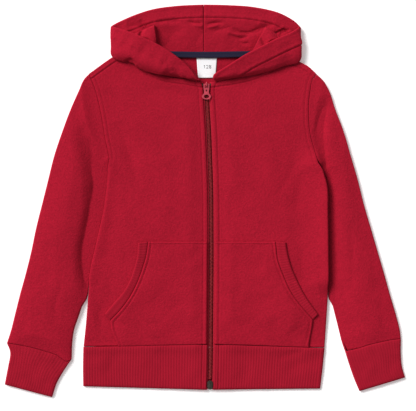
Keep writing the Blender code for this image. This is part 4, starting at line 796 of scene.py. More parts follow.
def flat_tube(name, plan, top, edge, roll, wall, surface, under_ribs=None, below=41):
    """A flattened cloth tube. `plan` is a grid of plan points, rows along it and columns from inner to
    outer edge, `top` the outer height there. Both edges are quarter rounds that meet at height `edge`.
    Its underside lies flat, but for ribs. The inner face runs `wall` inside the outer one."""
    rows, columns = plan.shape[:2]
    run = lengths(plan, 1)
    width = run[:, -1:]
    roll_in, roll_out = roll
    upper = at_height(plan, edge + (top - edge) * rolled(run, roll_in) * rolled(width - run, roll_out))
    share = crowded(below, 0.7)[::-1]
    floor_plan = between_columns(plan, np.interp(share, np.linspace(0, 1, columns), np.arange(columns)))
    gap = np.minimum(share, 1 - share)[None] * width
    lower_z = edge * (1 - rolled(gap, roll_out))
    if under_ribs is not None:
        lower_z = lower_z + under_ribs(share)[None] * ease(1.0, 6.0, gap)
    lower = at_height(floor_plan, lower_z)
    ring = np.concatenate((upper, lower[:, 1:]), axis=1)
    middle = 0.5 * (plan[:, :1] + plan[:, -1:])
    shrink = 1 - 2 * (wall + 0.3) / np.maximum(width, 30.0)
    inside_plan = middle + (ring[..., :2] - middle) * shrink[..., None]
    full = np.concatenate((top, np.full((rows, below - 1), top.mean())), axis=1)
    inside_z = np.clip(ring[..., 2], wall, np.maximum(full - wall, wall + 0.1))
    uv = pairs(lengths(ring, 1), lengths(middle))
    return cloth_wall(name, ring, at_height(inside_plan, inside_z), surface, uv, (4, 4), closed=True)


def tube_plan(inner, outer, first, last, u, v):
    """Plan grid of a tube: straight from inner to outer edge, with the bow of the first seam fading over
    the first third and that of the last seam over the last sixth."""
    a, b = line_at(inner, v)[:, None], line_at(outer, v)[:, None]
    s = u[None, :, None]
    bows = []
    for seam in (first, last):
        line = line_at(seam, u)
        bows.append((line - (line[0] + (line[-1] - line[0]) * u[:, None]))[None])
    fade_first = (np.maximum(0.0, 1 - 3 * v) ** 2)[:, None, None]
    fade_last = (np.maximum(0.0, 6 * v - 5) ** 2)[:, None, None]
    return a + (b - a) * s + fade_first * bows[0] + fade_last * bows[1]


def beside_body(plan, side):
    """Moves a sleeve's inner edge up to the body's side where it runs close by it, fading out across."""
    edge = plan[:, 0]
    line = smooth_line(side, 90)
    gap, share, _ = from_line(edge[:, 0], edge[:, 1], line)
    number = np.clip(np.round(share * (len(line) - 1)).astype(int), 0, len(line) - 1)
    toward = line[number] - edge
    wanted = np.maximum(gap - SLEEVE_FROM_BODY, 0) * (1 - ease(3.0, 9.0, gap))
    move = toward / np.maximum(gap, 0.1)[:, None] * wanted[:, None]
    return plan + move[:, None] * (1 - ease(0.0, 0.2, np.linspace(0, 1, plan.shape[1])))[None, :, None]


def up_to_seams(plan, first, last, u, v):
    """Moves a tube's first and last rows up to their seam lines, SEAM_AIR short of them."""
    for number, seam, near in ((0, first, 1), (-1, last, -2)):
        away = unit(plan[near] - plan[number])
        move = line_at(seam, u) + SEAM_AIR * away - plan[number]
        reach = v if number == 0 else 1 - v
        plan = plan + move[None] * (np.maximum(0.0, 1 - 20 * reach) ** 2)[:, None, None]
    return plan


def sleeve(name, inner, outer, armhole, cuff_seam, side, folds, steps, heights, roll, surface):
    """A sleeve: a flattened tube, higher along one edge than the other, with its creases, drawn down
    into the armhole seam and the cuff seam. `heights` are the outer height at the inner edge, at the
    outer edge, how much the crown between stands above them, how blunt it is, and the height of the
    folded edges' middle. `roll` is how far in the inner and the outer edge start to turn down."""
    u, v = crowded(105, 0.7), crowded(201, 0.5)
    plan = up_to_seams(tube_plan(inner, outer, armhole, cuff_seam, u, v), armhole, cuff_seam, u, v)
    plan = beside_body(plan, side)
    x, y = plan[..., 0], plan[..., 1]
    at_inner, at_outer, crown, fullness, edge = heights
    down = lengths(plan[:, len(u) // 2])[:, None]
    top = at_inner + (at_outer - at_inner) * u[None] + crown * np.sin(np.pi * u[None]) ** fullness
    top = top + steps_down(steps, x, y)
    top = top + np.sin(np.pi * u[None]) ** 0.3 * (creases(folds, x, y) + uneven(x, y, 0.7, 60.0, 0.35))
    top = np.maximum(top, SLEEVE_LEAST) * (1 - 0.2 * groove(down[-1] - down, 14.0))
    cap, foot = off(x, y, plan[0, ::4], plan[-1, ::4])
    end = np.minimum(cap, foot)
    ceiling = 7.0 + 0.16 * end + 0.004 * end**2 - groove(cap, 40.0) * (1.5 + 0.16 * cap)
    top = np.where(top > ceiling - 1.0, ceiling - np.exp(np.clip(ceiling - 1.0 - top, -6, 0)), top)
    top = top + (SLEEVE_CAP + 0.9 * side_ridge(x, y) - top) * groove(cap, 8.0)
    top = top - 0.4 * (1 - rolled(end, 1.5))
    return instead(flat_tube(name + "_cloth", plan, top, edge, roll, FLEECE, surface), name)


def rib_wave(count, share):
    """Rounded ribs: a row of cosine crests a little broader than the grooves between them."""
    return (0.5 + 0.5 * np.cos(2 * np.pi * (count * share + 0.5))) ** 0.8


def cuff(name, rows, seam, surface):
    """A rib knit cuff: a flattened tube whose ribs run from the seam to the opening on both faces."""
    u, v = np.linspace(0, 1, CUFF_RIBS * 8 + 1), np.linspace(0, 1, 25)
    rows = between_rows(np.array(rows), 3 * v)
    sewn = line_at(seam, u)
    bow = sewn - (rows[0, :2] + (rows[0, 2:] - rows[0, :2]) * u[:, None])
    run = sewn[-1] - sewn[0]
    away = np.sign(-run[0] * rows[-1, 1] + run[0] * rows[0, 1])
    bow = bow + SEAM_AIR * np.array((run[1], -run[0])) * away / np.hypot(*run)
    fade = np.maximum(0.0, 1 - 1.5 * v)[:, None, None]
    plan = rows[:, None, :2] + (rows[:, None, 2:] - rows[:, None, :2]) * u[None, :, None] + fade * bow
    along = CUFF_DEPTH * v[:, None]
    wander = 0.035 * np.sin(2 * np.pi * (1.3 * v[:, None] + 0.4 * u[None])) / CUFF_RIBS
    ribs = rib_wave(CUFF_RIBS, u[None] + 12 * wander * np.sin(np.pi * u[None]))
    crown = CUFF_CROWN * (1 - 0.3 * v[:, None]) * np.sin(np.pi * u[None]) ** 0.7
    top = CUFF_EDGE_HEIGHT + crown + 0.25 * uneven(plan[..., 0], plan[..., 1], 4.0, 30.0, 1.0)
    top = top + 0.15 * groove(along - 7.0, 4.0)
    top = top + CUFF_RIB_SHARE * RIB_RISE * ribs * ease(0.3, 2.5, along)
    ends = (0.8 + 0.2 * rolled(along + 0.3, 1.6)) * rolled(CUFF_DEPTH + 0.3 - along, 1.6)
    top = CUFF_FLOOR + (top - CUFF_FLOOR) * ends
    made = flat_tube(name + "_knit", plan, top, 2.6, (3.6, 3.6), RIB_WALL, surface,
                     lambda share: 0.5 * (1 - rib_wave(CUFF_RIBS, share)), CUFF_RIBS * 6 + 1)
    return instead(made, name)


def hem_front(y_zip, y_side, x_side, v, sign, seed):
    """The waistband's front on one side of the zip: its outer face, and the heights of its inner one. Its
    rounded ribs sway a little, and it is rolled down along the zip, the hem seam and the foot."""
    depth = HEM_DEPTH * v[:, None]
    x_zip = zip_x(y_zip) + sign * ZIP_HALF_OPEN
    count = int(round(abs(x_side[0] - x_zip[0]) / RIB_PITCH))
    t = np.linspace(0, 1, 8 * count + 1)[None]
    x = x_zip[:, None] + (x_side - sign * HEM_FOLD - x_zip)[:, None] * t
    y = y_zip[:, None] + (y_side - y_zip)[:, None] * t + 0.2 * groove(depth, 1.0)
    x = x + 0.8 * np.sin(np.pi * t) * np.sin(2 * np.pi * (v[:, None] * 0.8 + 2.0 * t) + seed) * v[:, None]
    aside = np.abs(x - x_zip[:, None])
    low = front_low(x, y) + HEM_FRONT_GAP + 0.5 * np.sin(np.pi * v)[:, None]
    low = low + groove(depth, 9.0) * ease(8.0, 20.0, aside)
    folds = creases(HEM_CREASES, x, y) + uneven(x, y, 3.0, 50.0, 0.3)
    low = np.maximum(low + ease(2.0, 16.0, aside) * folds, HEM_LEAST)
    rim = (0.72 + 0.28 * rolled(depth + 0.2, 1.6)) * rolled(HEM_DEPTH + 0.2 - depth, 2.6)
    rise = (RIB_WALL + RIB_RISE * rib_wave(count, t) * ease(0.2, 2.2, depth)
            + 0.5 * groove(depth - 6.0, 5.0) - 0.8 * groove(aside - ZIP_STITCH, 0.9))
    rise = 0.7 + (rise - 0.7) * rim * rolled(aside, 1.5)
    return np.stack((x, y, low + rise), axis=-1), low


def hem_side(height, y_side, x_side, sign):
    """The waistband's folded side: half an ellipse from the front's edge, at `height`, down to the floor."""
    turn = np.linspace(0, np.pi, 14)[None, 1:-1]
    out = sign * (HEM_FOLD + 0.3 * np.sin(6 * turn)) * np.sin(turn)
    return np.stack(np.broadcast_arrays(x_side[:, None] - sign * HEM_FOLD + out, y_side[:, None],
                                        0.5 * height + 0.5 * height * np.cos(turn)), axis=-1)


def hem_back(side_left, side_right, x_left, x_right, v):
    """The waistband's back, which lies on the floor on its ribs, its hem seam and foot turned up a little."""
    depth = HEM_DEPTH * v[:, None]
    t = np.linspace(0, 1, 4 * HEM_BACK_RIBS + 1)[None]
    x = (x_left + HEM_FOLD)[:, None] + (x_right - x_left - 2 * HEM_FOLD)[:, None] * t
    y = side_left[:, None] + (side_right - side_left)[:, None] * t
    ends = rolled(depth + 0.2, 2.0) * rolled(HEM_DEPTH + 0.2 - depth, 2.0)
    return np.stack((x, y, 0.5 * (1 - rib_wave(HEM_BACK_RIBS, t)) + 0.6 * (1 - ends)), axis=-1)


def hem_rib(surface):
    """The waistband: one wall of rib knit from the zip round the back to the zip again, folded flat at
    both sides."""
    v = np.linspace(0, 1, 25)
    outline = between_rows(np.array(HEM_RIB_ROWS), 2 * v)
    side_left, zip_left, zip_right, side_right, x_left, x_right = outline.T
    left, left_low = hem_front(zip_left, side_left, x_left, v, -1, 0.0)
    right, right_low = hem_front(zip_right, side_right, x_right, v, 1, 2.0)
    folds = [hem_side(left[:, -1, 2:], side_left, x_left, -1),
             hem_side(right[:, -1, 2:], side_right, x_right, 1)[:, ::-1]]
    back = hem_back(side_left, side_right, x_left, x_right, v)
    # the coarser inner grid needs a number of columns that four divides, and one more
    count = back.shape[1]
    more = -(left.shape[1] + folds[0].shape[1] + count + folds[1].shape[1] + right.shape[1] - 1) % 4
    back = between_columns(back, np.linspace(0, count - 1, count + more))
    ring = np.concatenate((left, folds[0], back, folds[1], right[:, ::-1]), axis=1)
    fold_low = [np.clip(fold[..., 2], RIB_WALL, HEM_LEAST) for fold in folds]
    low = np.concatenate((left_low, fold_low[0], np.full(back.shape[:2], RIB_WALL), fold_low[1],
                          right_low[:, ::-1]), axis=1)
    inside = np.stack((np.clip(ring[..., 0], (x_left + RIB_WALL)[:, None], (x_right - RIB_WALL)[:, None]),
                       ring[..., 1], low), axis=-1)
    uv = pairs(lengths(ring, 1), HEM_DEPTH * v[:, None])
    return instead(cloth_wall("hem_knit", ring, inside, surface, uv, (4, 4)), "hem_rib")


def pocket_base(x, y):
    """Underside of what is sewn onto the fronts."""
    return front_under(x, y) + side_ridge(x, y) + FLEECE + 0.35


def pocket(name, seam, side, hem_seam, sign, surface):
    """A patch pocket: rolled edges, a row of stitches inside each, and its own soft creases."""
    u, v = crowded(76, 0.4), crowded(103, 0.5)
    y = POCKET_LOW + (POCKET_HIGH - POCKET_LOW) * v
    inner = pairs(zip_x(y) + sign * (zip_half_open(y) + POCKET_FROM_ZIP), y)
    outer = joined(side[::-1], seam[::-1], POCKET_SIDE_SHARE, v)
    bottom, top = line_at((inner[0], outer[0]), u), line_at((inner[-1], outer[-1]), u)
    plan = drawn_in(panel(bottom, top, inner, outer, u, v), EDGE_INSET)
    sewn = np.array(sorted(hem_seam))
    down = np.interp(plan[0, :, 0], sewn[:, 0], sewn[:, 1]) + EDGE_INSET - plan[0, :, 1]
    plan[..., 1] += (np.maximum(0.0, 1 - 8 * v) ** 2)[:, None] * down
    x, y = plan[..., 0], plan[..., 1]
    by_zip, at_top, at_side, hem = off(x, y, inner, top, outer, plan[0])
    edge = np.minimum(np.minimum(at_top, at_side), by_zip)
    fade = ease(0.0, 14.0, by_zip) * ease(0.0, 10.0, at_top)
    rise = FLEECE + 0.2 + fade * (creases(POCKET_CREASES, x, y) + uneven(x, y, 5.1, 45.0, 0.3))
    rise += 0.2 * groove(at_side - 2.5, 1.8) - 0.7 * groove(at_side - 4.8, 1.3)
    rise += 0.3 * groove(at_top - 2.0, 1.5) - 0.4 * groove(at_top - 3.6, 0.7)
    rise += 0.4 * groove(by_zip - 2.2, 2.2) - 0.7 * groove(by_zip - ZIP_STITCH + POCKET_FROM_ZIP, 0.9)
    to_hem = 0.5 + 0.25 * rolled(hem, 1.6) + 0.25 * rolled(hem, 9.0)
    rise = 0.6 + (np.maximum(rise, 1.4) - 0.6) * rolled(edge, 1.8) * to_hem
    return instead(wall_over(name + "_patch", plan, pocket_base(x, y), rise, surface), name)


def binding(name, seam, edge, surface):
    """The pocket's curved rib edge: short ribs across it, a folded outer edge and a sewn inner one."""
    u, v = np.linspace(0, 1, 19), np.linspace(0, 1, BINDING_RIBS * 6 + 1)
    a, b = line_at(seam, v)[:, None], line_at(edge, v)[:, None]
    plan = drawn_in(a + (b - a) * u[None, :, None], EDGE_INSET)
    x, y = plan[..., 0], plan[..., 1]
    seam_gap, edge_gap = off(x, y, a[::2, 0], b[::2, 0])
    ends = np.minimum(*off(x, y, plan[0], plan[-1]))
    rib = rib_wave(BINDING_RIBS, v)[:, None] * ease(0.0, 2.5, seam_gap) * ease(0.0, 2.0, edge_gap)
    rise = RIB_WALL + 0.26 * rib + 0.5 * groove(edge_gap - 3.0, 3.0) - 0.5 * groove(seam_gap, 2.5)
    rise = 0.6 + (rise - 0.6) * rolled(edge_gap, 2.2) * rolled(seam_gap + 0.2, 1.6) * rolled(ends + 0.2, 1.4)
    uv = pairs(lengths(a), seam_gap)
    return instead(wall_over(name + "_knit", plan, pocket_base(x, y), rise, surface, uv), name)


def hood_sections(table, under, over):
    """Middle line of the cloth at each row of a hood table, as `under` steps up to the fold and `over`
    past it. The neck seam of the flap rows stands on the front panel, the rest on the back."""
    sections = []
    for row, (seam, low, fold, upper, edge) in enumerate(table):
        x, y = seam
        base = float(front_low(np.float64(x), np.float64(y))) + FLEECE if row < FLAP_ROWS else FLEECE
        start = np.array((x, y, base + SEAM_GAP + HOOD_HALF_WALL + HOOD_SEAM_LIFT))
        low, fold, upper, edge = (np.array(point, float) for point in (low, fold, upper, edge))
        plan_share, height_share = FOLD_SHARE
        turn = fold + np.array((plan_share, plan_share, height_share)) * (upper - fold)
        fine = smooth_line((start, low, fold, turn, upper, edge), 90)
        split = int(np.argmin(np.linalg.norm(fine - fold, axis=1)))
        sections.append(np.vstack((smooth_line(fine[:split + 1], under + 1)[:-1],
                                   smooth_line(fine[split:], over + 1))))
    return np.array(sections)


def hood_surface(table, rows):
    """The middle surface of a hood half at broken row numbers: its points, its normals, upwards at the
    centre seam, and how far along its row each point lies from the face opening."""
    middle = between_rows(hood_sections(table, 27, 72), rows)
    normal = unit(np.cross(np.gradient(middle, axis=0), np.gradient(middle, axis=1)))
    normal *= np.sign(normal[-1, 60, 2])
    return middle, normal, lengths(middle[:, ::-1], 1)[:, ::-1]


def on_flap(rows):
    """1 on the hood rows of the flap, 0 on those behind it, where the cloth's inside shows."""
    return (1 - ease(FLAP_ROWS - 1.4, FLAP_ROWS - 0.6, rows))[:, None]


def hood_relief(table_side, rows, x, y, to_edge, run):
    """Relief of a hood half: the hem band a little proud with its stitch groove, fine puckers along it,
    and the wrinkles of the flap and of the inside, each only on its own rows."""
    flap = on_flap(rows)
    width = HOOD_BAND + 5.0 * flap * table_side
    deep = (0.15 + 0.75 * table_side) * flap + 0.7 * (1 - flap)
    band = 0.6 * deep * (1 - ease(width - 1.5, width + 0.5, to_edge)) - deep * groove(to_edge - width, 1.2)
    band += 0.5 * deep * groove(to_edge - width + 3.4, 2.0)
    band += flap * (2.0 if table_side else 0.6) * (1 - ease(0.0, 46.0, to_edge))
    band += (1 - flap) * ease(8.0, 10.5, rows)[:, None] * 1.8 * (1 - ease(16.0, 42.0, to_edge))
    band += 0.45 * groove(to_edge - 2.6, 2.4)
    pucker = 0.24 * np.sin(run / 2.6 + 1.5 * np.sin(run / 9.0)) * groove(to_edge - HOOD_BAND, 5.0)
    wrinkles = flap * creases(HOOD_FLAP_CREASES[table_side], x, y)
    wrinkles = wrinkles + (1 - flap) * creases(HOOD_INSIDE_CREASES[table_side], x, y)
    if not table_side:
        wrinkles = wrinkles + flap * 4.5 * (1 - np.exp((x.min() - x) / 56.0))
    return band + pucker + wrinkles + 0.8 * uneven(x, y, 6.0, 38.0, 0.3)


def hood_half(name, table, table_side, surface):
    """A hood half: the cloth's middle surface, moved half a wall each way along its normals. Its inside
    shows behind the face opening and its outside on the flap, so the relief is on one or the other."""
    rows = np.linspace(0, len(table) - 1, 18 * (len(table) - 1) + 1)
    middle, normal, to_edge = hood_surface(table, rows)
    run = lengths(middle[:, -1])[:, None]
    from_seam = to_edge[:, :1] - to_edge
    x, y = middle[..., 0], middle[..., 1]
    relief = hood_relief(table_side, rows, x, y, to_edge, run)
    relief *= ease(0.0, 8.0, from_seam) * ease(8.0, 20.0, from_seam + 12.0)
    rim = rolled(to_edge + 0.2, 1.6) * rolled(from_seam + 0.2, 1.6)
    rim = rim * (0.86 + 0.14 * rolled(run[-1] - run, 2.4)) * rolled(run + 0.2, 1.6)
    body = HOOD_HALF_WALL * (1.8 * rim - 0.8)
    outside = on_flap(rows)
    high = middle + normal * (body + relief * rim * (1 - outside))[..., None]
    low = middle - normal * (body + relief * rim * outside)[..., None]
    return instead(cloth_wall(name + "_cloth", high, low, surface, pairs(run, from_seam), (1, 1)), name)


def slack_past_edge(edge, outward, fold, folds, reach):
    """The slack cloth past the flap's edge: rows that run out to a peak and sink as they go, raised by the
    folds. `fold` is how many spreads each point of the edge lies from the peak."""
    bump = np.clip(1 - np.abs(fold), 0, 1)
    share = np.linspace(0.05, 1.0, 30)[:, None]
    past = np.repeat(edge[None], len(share), axis=0)
    past[..., :2] += outward * (bump * reach + 0.6)[:, None] * share[..., None]
    past[..., 2] -= share * (SLACK_BACK_TILT + SLACK_PEAK_DROP * bump)
    past[..., 2] += SLACK_PEAK_RISE * ease(0.05, 0.25, share) * ease(0.05, 0.3, bump)
    ridge = ease(0.02, 0.3, share) * ease(0.0, 0.25, bump)
    for place, half_width, rise in folds:
        past[..., 2] += ridge * rise * groove(fold - place, half_width)
    return past


def slack(name, table, numbers, folds, surface):
    """The hood's slack cloth bunched under a flap: a rounded heap whose peak, a fold of cloth, shows
    past the flap's edge in the face opening."""
    first, last, peak, spread_in, spread_out, reach = numbers
    wanted = np.linspace(first, last, 121)
    sections = between_rows(hood_sections(table, 5, 7), wanted)
    edge = sections[:, -1, :2]
    outward = right_of(edge)
    outward *= np.sign(np.sum(outward * (edge - sections[:, -3, :2]), axis=1))[:, None]
    shares = np.interp(np.linspace(0, 3, 22), np.arange(4), SLACK_SHARES)
    under = between_columns(sections, 5 + shares * 7).transpose(1, 0, 2).copy()
    under[..., 2] -= HOOD_HALF_WALL + SEAM_GAP + 0.35
    fold = (wanted - peak) / np.where(wanted < peak, spread_in, spread_out)
    high = np.concatenate((under, slack_past_edge(under[-1], outward, fold, folds, reach)))
    taper = np.sin(np.pi * np.clip((wanted - first) / (last - first), 0, 1)) ** 0.35
    height = (high[..., 2] - SLACK_BASE) * (0.35 + 0.65 * taper)[None]
    rows, columns = high.shape[:2]
    i, j = np.arange(rows)[:, None], np.arange(columns)[None]
    rim = rolled((rows - 1 - i) + 0.3, 4.0) * rolled(np.minimum(j, columns - 1 - j) + 0.2, 3.0)
    high[..., 2] = SLACK_BASE + 0.5 + (np.maximum(height, 0.8) - 0.5) * rim
    low = high.copy()
    low[..., 2] = SLACK_BASE
    return instead(cloth_wall(name + "_cloth", high, low, surface, high[..., :2]), name)


def crown_heap(surface):
    """The crown of the hood folded under what shows: one rounded heap under both halves, flat where it
    rests, its rim layered by the folded cloth."""
    halves = [between_rows(hood_sections(table, 5, 7), np.linspace(FLAP_ROWS, len(table) - 1, 40))
              for table in (HOOD_LEFT, HOOD_RIGHT)]
    high = []
    for row in np.concatenate((halves[0][:-1], halves[1][::-1])):
        whole = lengths(row)[-1]
        high.append(line_at(row, (6.0 + (whole - 8.0) * np.linspace(0, 1, 31)) / whole))
    high = np.array(high)[:79]
    high[..., 2] -= HOOD_HALF_WALL + SEAM_GAP + 0.25
    rows, columns = high.shape[:2]
    i, j = np.arange(rows)[:, None], np.arange(columns)[None]
    rim = rolled(np.minimum(i, rows - 1 - i) + 0.3, 2.0) * rolled(np.minimum(j, columns - 1 - j) + 0.3, 2.0)
    high[..., 2] = 1.0 + (high[..., 2] - 1.0) * rim
    low = high.copy()
    low[..., 2] = 0.6 * (1 - rim) + np.clip(uneven(high[..., 0], high[..., 1], 3.3, 40.0, 0.4), 0, 0.9)
    return instead(cloth_wall("hood_crown_cloth", high, low, surface, high[..., :2]), "hood_crown")


def neck_tape(surface):
    """Herringbone tape over the back neck seam, its two edges rolled."""
    line = smooth_line(NECK_TAPE, 121)
    t = np.linspace(0, 1, 16)
    plan = line[:, None] + np.array((0.0, NECK_TAPE_WIDTH)) * t[None, :, None]
    off = NECK_TAPE_WIDTH * np.minimum(t, 1 - t)[None]
    along = np.linspace(0, 130, 121)[:, None]
    rise = 0.25 + (TAPE_WALL - 0.05) * rolled(off + 0.1, 0.9) * np.ones_like(along)
    rise = rise + 0.12 * groove(off - 2.2, 1.0) + 0.08 * np.sin(along / 5.0 + 2 * t[None])
    uv = pairs(along, NECK_TAPE_WIDTH * t[None])
    return instead(wall_over("neck_tape_twill", plan, NECK_TAPE_BASE, rise, surface, uv), "neck_tape")


def neck_label(surface):
    """A woven label lying on the back's inside, its free end lifted a little; the number is its own piece."""
    u, v = np.linspace(0, 1, 31), np.linspace(0, 1, 31)
    top_left, top_right, low_right, low_left = np.array(LABEL_CORNERS)
    plan = panel(line_at((low_left, low_right), u), line_at((top_left, top_right), u),
                 line_at((low_left, top_left), v), line_at((low_right, top_right), v), u, v)
    base = FLEECE + SEAM_GAP + 0.6 * np.sin(np.pi * u[None]) * (1 - v[:, None]) + 0.1 * np.ones((31, 31))
    edge = np.minimum(np.minimum(u, 1 - u)[None], np.minimum(v, 1 - v)[:, None]) * 30.0
    rise = 0.2 + 0.35 * rolled(edge + 0.1, 0.8) + 0.1 * groove(edge - 2.0, 0.5)
    return instead(wall_over("neck_label_woven", plan, base, rise, surface, plan - low_left), "neck_label")


def size_number(surface):
    """A plain size number woven on the label: one eight and one two beside a one, as rows of thread.
    The eight is a loop, across half the sine of twice the angle, up half the cosine of the angle."""
    turn = np.linspace(0, 2 * np.pi, 40)
    eight = np.stack((0.3 + 0.3 * np.sin(2 * turn), 0.5 + 0.5 * np.cos(turn)), axis=1)
    two = smooth_line(((0.0, 0.78), (0.16, 0.98), (0.42, 0.98), (0.6, 0.76), (0.5, 0.5), (0.0, 0.0)), 40)
    foot = np.array(((0.0, 0.0), (0.3, 0.0), (0.62, 0.0)))
    one = np.array(((0.06, 0.78), (0.3, 1.0), (0.3, 0.5), (0.3, 0.0)))
    paths = []
    for left, strokes in ((0.0, (one,)), (0.85, (two, foot)), (1.8, (eight,))):
        for stroke in strokes:
            plan = NUMBER_AT + NUMBER_HEIGHT * (stroke + np.array((left, 0.0)))
            paths.append(at_height(plan, np.full(len(plan), FLEECE + SEAM_GAP + LABEL_TOP)))
    return stitches("label_size_number", paths, surface, 0.75, (0.9, 0.5))


def zip_tape(side, sign, surface):
    """A woven zip tape with a cord along its inner edge."""
    y = np.concatenate((np.linspace(TAPE_LOW, CHAIN_TOP - 1.4, 226), np.linspace(CHAIN_TOP, TAPE_TOP, 15)))
    t = np.linspace(0, 1, 13)
    inner = np.where(y >= CHAIN_TOP, SLIDER_HALF_WIDTH + SLIDER_CLEAR, CHAIN_HALF_WIDTH + CHAIN_CLEAR)
    aside = inner[:, None] + (TAPE_HALF_WIDTH - inner)[:, None] * t[None]
    plan = pairs(zip_x(y)[:, None] + sign * aside, y[:, None])
    width = TAPE_HALF_WIDTH - inner[:, None]
    rise = 0.3 + (TAPE_WALL - 0.3) * rolled(np.minimum(t, 1 - t)[None] * width + 0.1, 0.7)
    rise = rise + 0.8 * (1 - ease(3.8, 4.7, aside)) * ease(0.0, 6.0, CHAIN_TOP - y)[:, None]
    made = wall_over("zip_tape_woven_" + side, plan, TAPE_BASE, rise, surface, pairs(aside, plan[..., 1]))
    return instead(made, "zip_tape_" + side)


def repeated(name, shape, frames, places, surface):
    """One joined mesh from a small closed shape, its points and its blocks of faces, set at many places.
    `frames` holds three axes per place."""
    one, faces = shape
    points = (np.einsum("pj,njk->npk", one, frames) + places[:, None]).reshape(-1, 3)
    number = np.arange(len(places))[:, None, None] * len(one)
    blocks = [(block[None] + number).reshape(-1, block.shape[1]) for block in faces]
    return put_mesh(name, points, blocks, surface, points[:, :2])


def pebble(sizes, rings, around):
    """A small rounded shape: rings of a superellipse along X, closed by a face at each end. `rings`
    are (share of length, share of girth)."""
    turn = 2 * np.pi * np.arange(around) / around
    profile = np.stack((np.cos(turn), np.sin(turn)), axis=1)
    points = np.array([(along * sizes[0], a * girth * sizes[1], b * girth * sizes[2])
                       for along, girth in rings for a, b in profile])
    number = np.arange(len(points)).reshape(len(rings), around)
    wrapped = np.concatenate((number, number[:, :1]), axis=1)
    return points, [grid_faces(wrapped), np.array([number[0, ::-1], number[-1]])]


def stitches(name, paths, surface, pitch=STITCH_PITCH, size=(STITCH_LENGTH, STITCH_WIDTH)):
    """Rows of short thread stitches, each a small capsule lying along its path and sunk by half.
    Each path is a line of points in space."""
    places, frames = [], []
    for path in paths:
        along = lengths(path)
        wanted = np.arange(0.5 * pitch, along[-1], pitch)
        at = [np.stack([np.interp(wanted + aside, along, path[:, k]) for k in range(3)], axis=1)
              for aside in (-0.6, 0.0, 0.6)]
        run = unit(at[2] - at[0])
        side = unit(np.cross((0.0, 0.0, 1.0), run))
        frames.append(np.stack((run, side, np.cross(run, side)), axis=1))
        places.append(at[1])
    rings = ((-0.5, 0.35), (-0.36, 0.9), (0.0, 1.0), (0.36, 0.9), (0.5, 0.35))
    capsule = pebble((size[0], 0.5 * size[1], 0.5 * size[1]), rings, 5)
    return repeated(name, capsule, np.concatenate(frames), np.concatenate(places), surface)


def zip_teeth(surface):
    """The closed chain: two rows of teeth, each a rounded bar from its tape to just past the middle,
    the left row half a pitch above the right one."""
    places, frames = [], []
    for sign, shift in ((-1, 0.0), (1, 0.5)):
        y = np.arange(CHAIN_LOW + 1.0 + shift * TOOTH_PITCH, CHAIN_TOP - 0.8, TOOTH_PITCH)
        places.append(at_height(pairs(zip_x(y) + sign * TOOTH_ASIDE, y), CHAIN_BASE + 0.5 * CHAIN_HEIGHT))
        frames.append(np.broadcast_to(np.diag((sign, 1.0, 1.0)), (len(y), 3, 3)))
    rings = ((-0.5, 0.62), (-0.42, 0.92), (-0.1, 1.0), (0.3, 0.86), (0.5, 0.6))
    tooth = pebble((TOOTH_LENGTH, 0.45 * TOOTH_PITCH, 0.5 * CHAIN_HEIGHT), rings, 6)
    made = repeated("zip_teeth", tooth, np.concatenate(frames), np.concatenate(places), surface)
    return instead(made, "zip_chain")


class Value:
    """A number that varies over a surface; the usual operators add Math nodes to its material."""

    def __init__(self, finish, socket):
        self.finish, self.socket = finish, socket

    def maths(self, operation, *values):
        return self.finish.node("ShaderNodeMath", {"operation": operation}, dict(enumerate(values)))

    def __add__(self, other):
        return self.maths("ADD", self, other)

    def __sub__(self, other):
        return self.maths("SUBTRACT", self, other)

    def __rsub__(self, other):
        return self.maths("SUBTRACT", other, self)

    def __mul__(self, other):
        return self.maths("MULTIPLY", self, other)

    __radd__, __rmul__ = __add__, __mul__

    def fraction(self):
        return self.maths("FRACT", self)

    def size(self):
        return self.maths("ABSOLUTE", self)

    def sine(self):
        return self.maths("SINE", self)

    def wave(self, pitch):
        """A sine wave along a length, its crests a pitch apart."""
        return (self * (2 * math.pi / pitch)).sine()


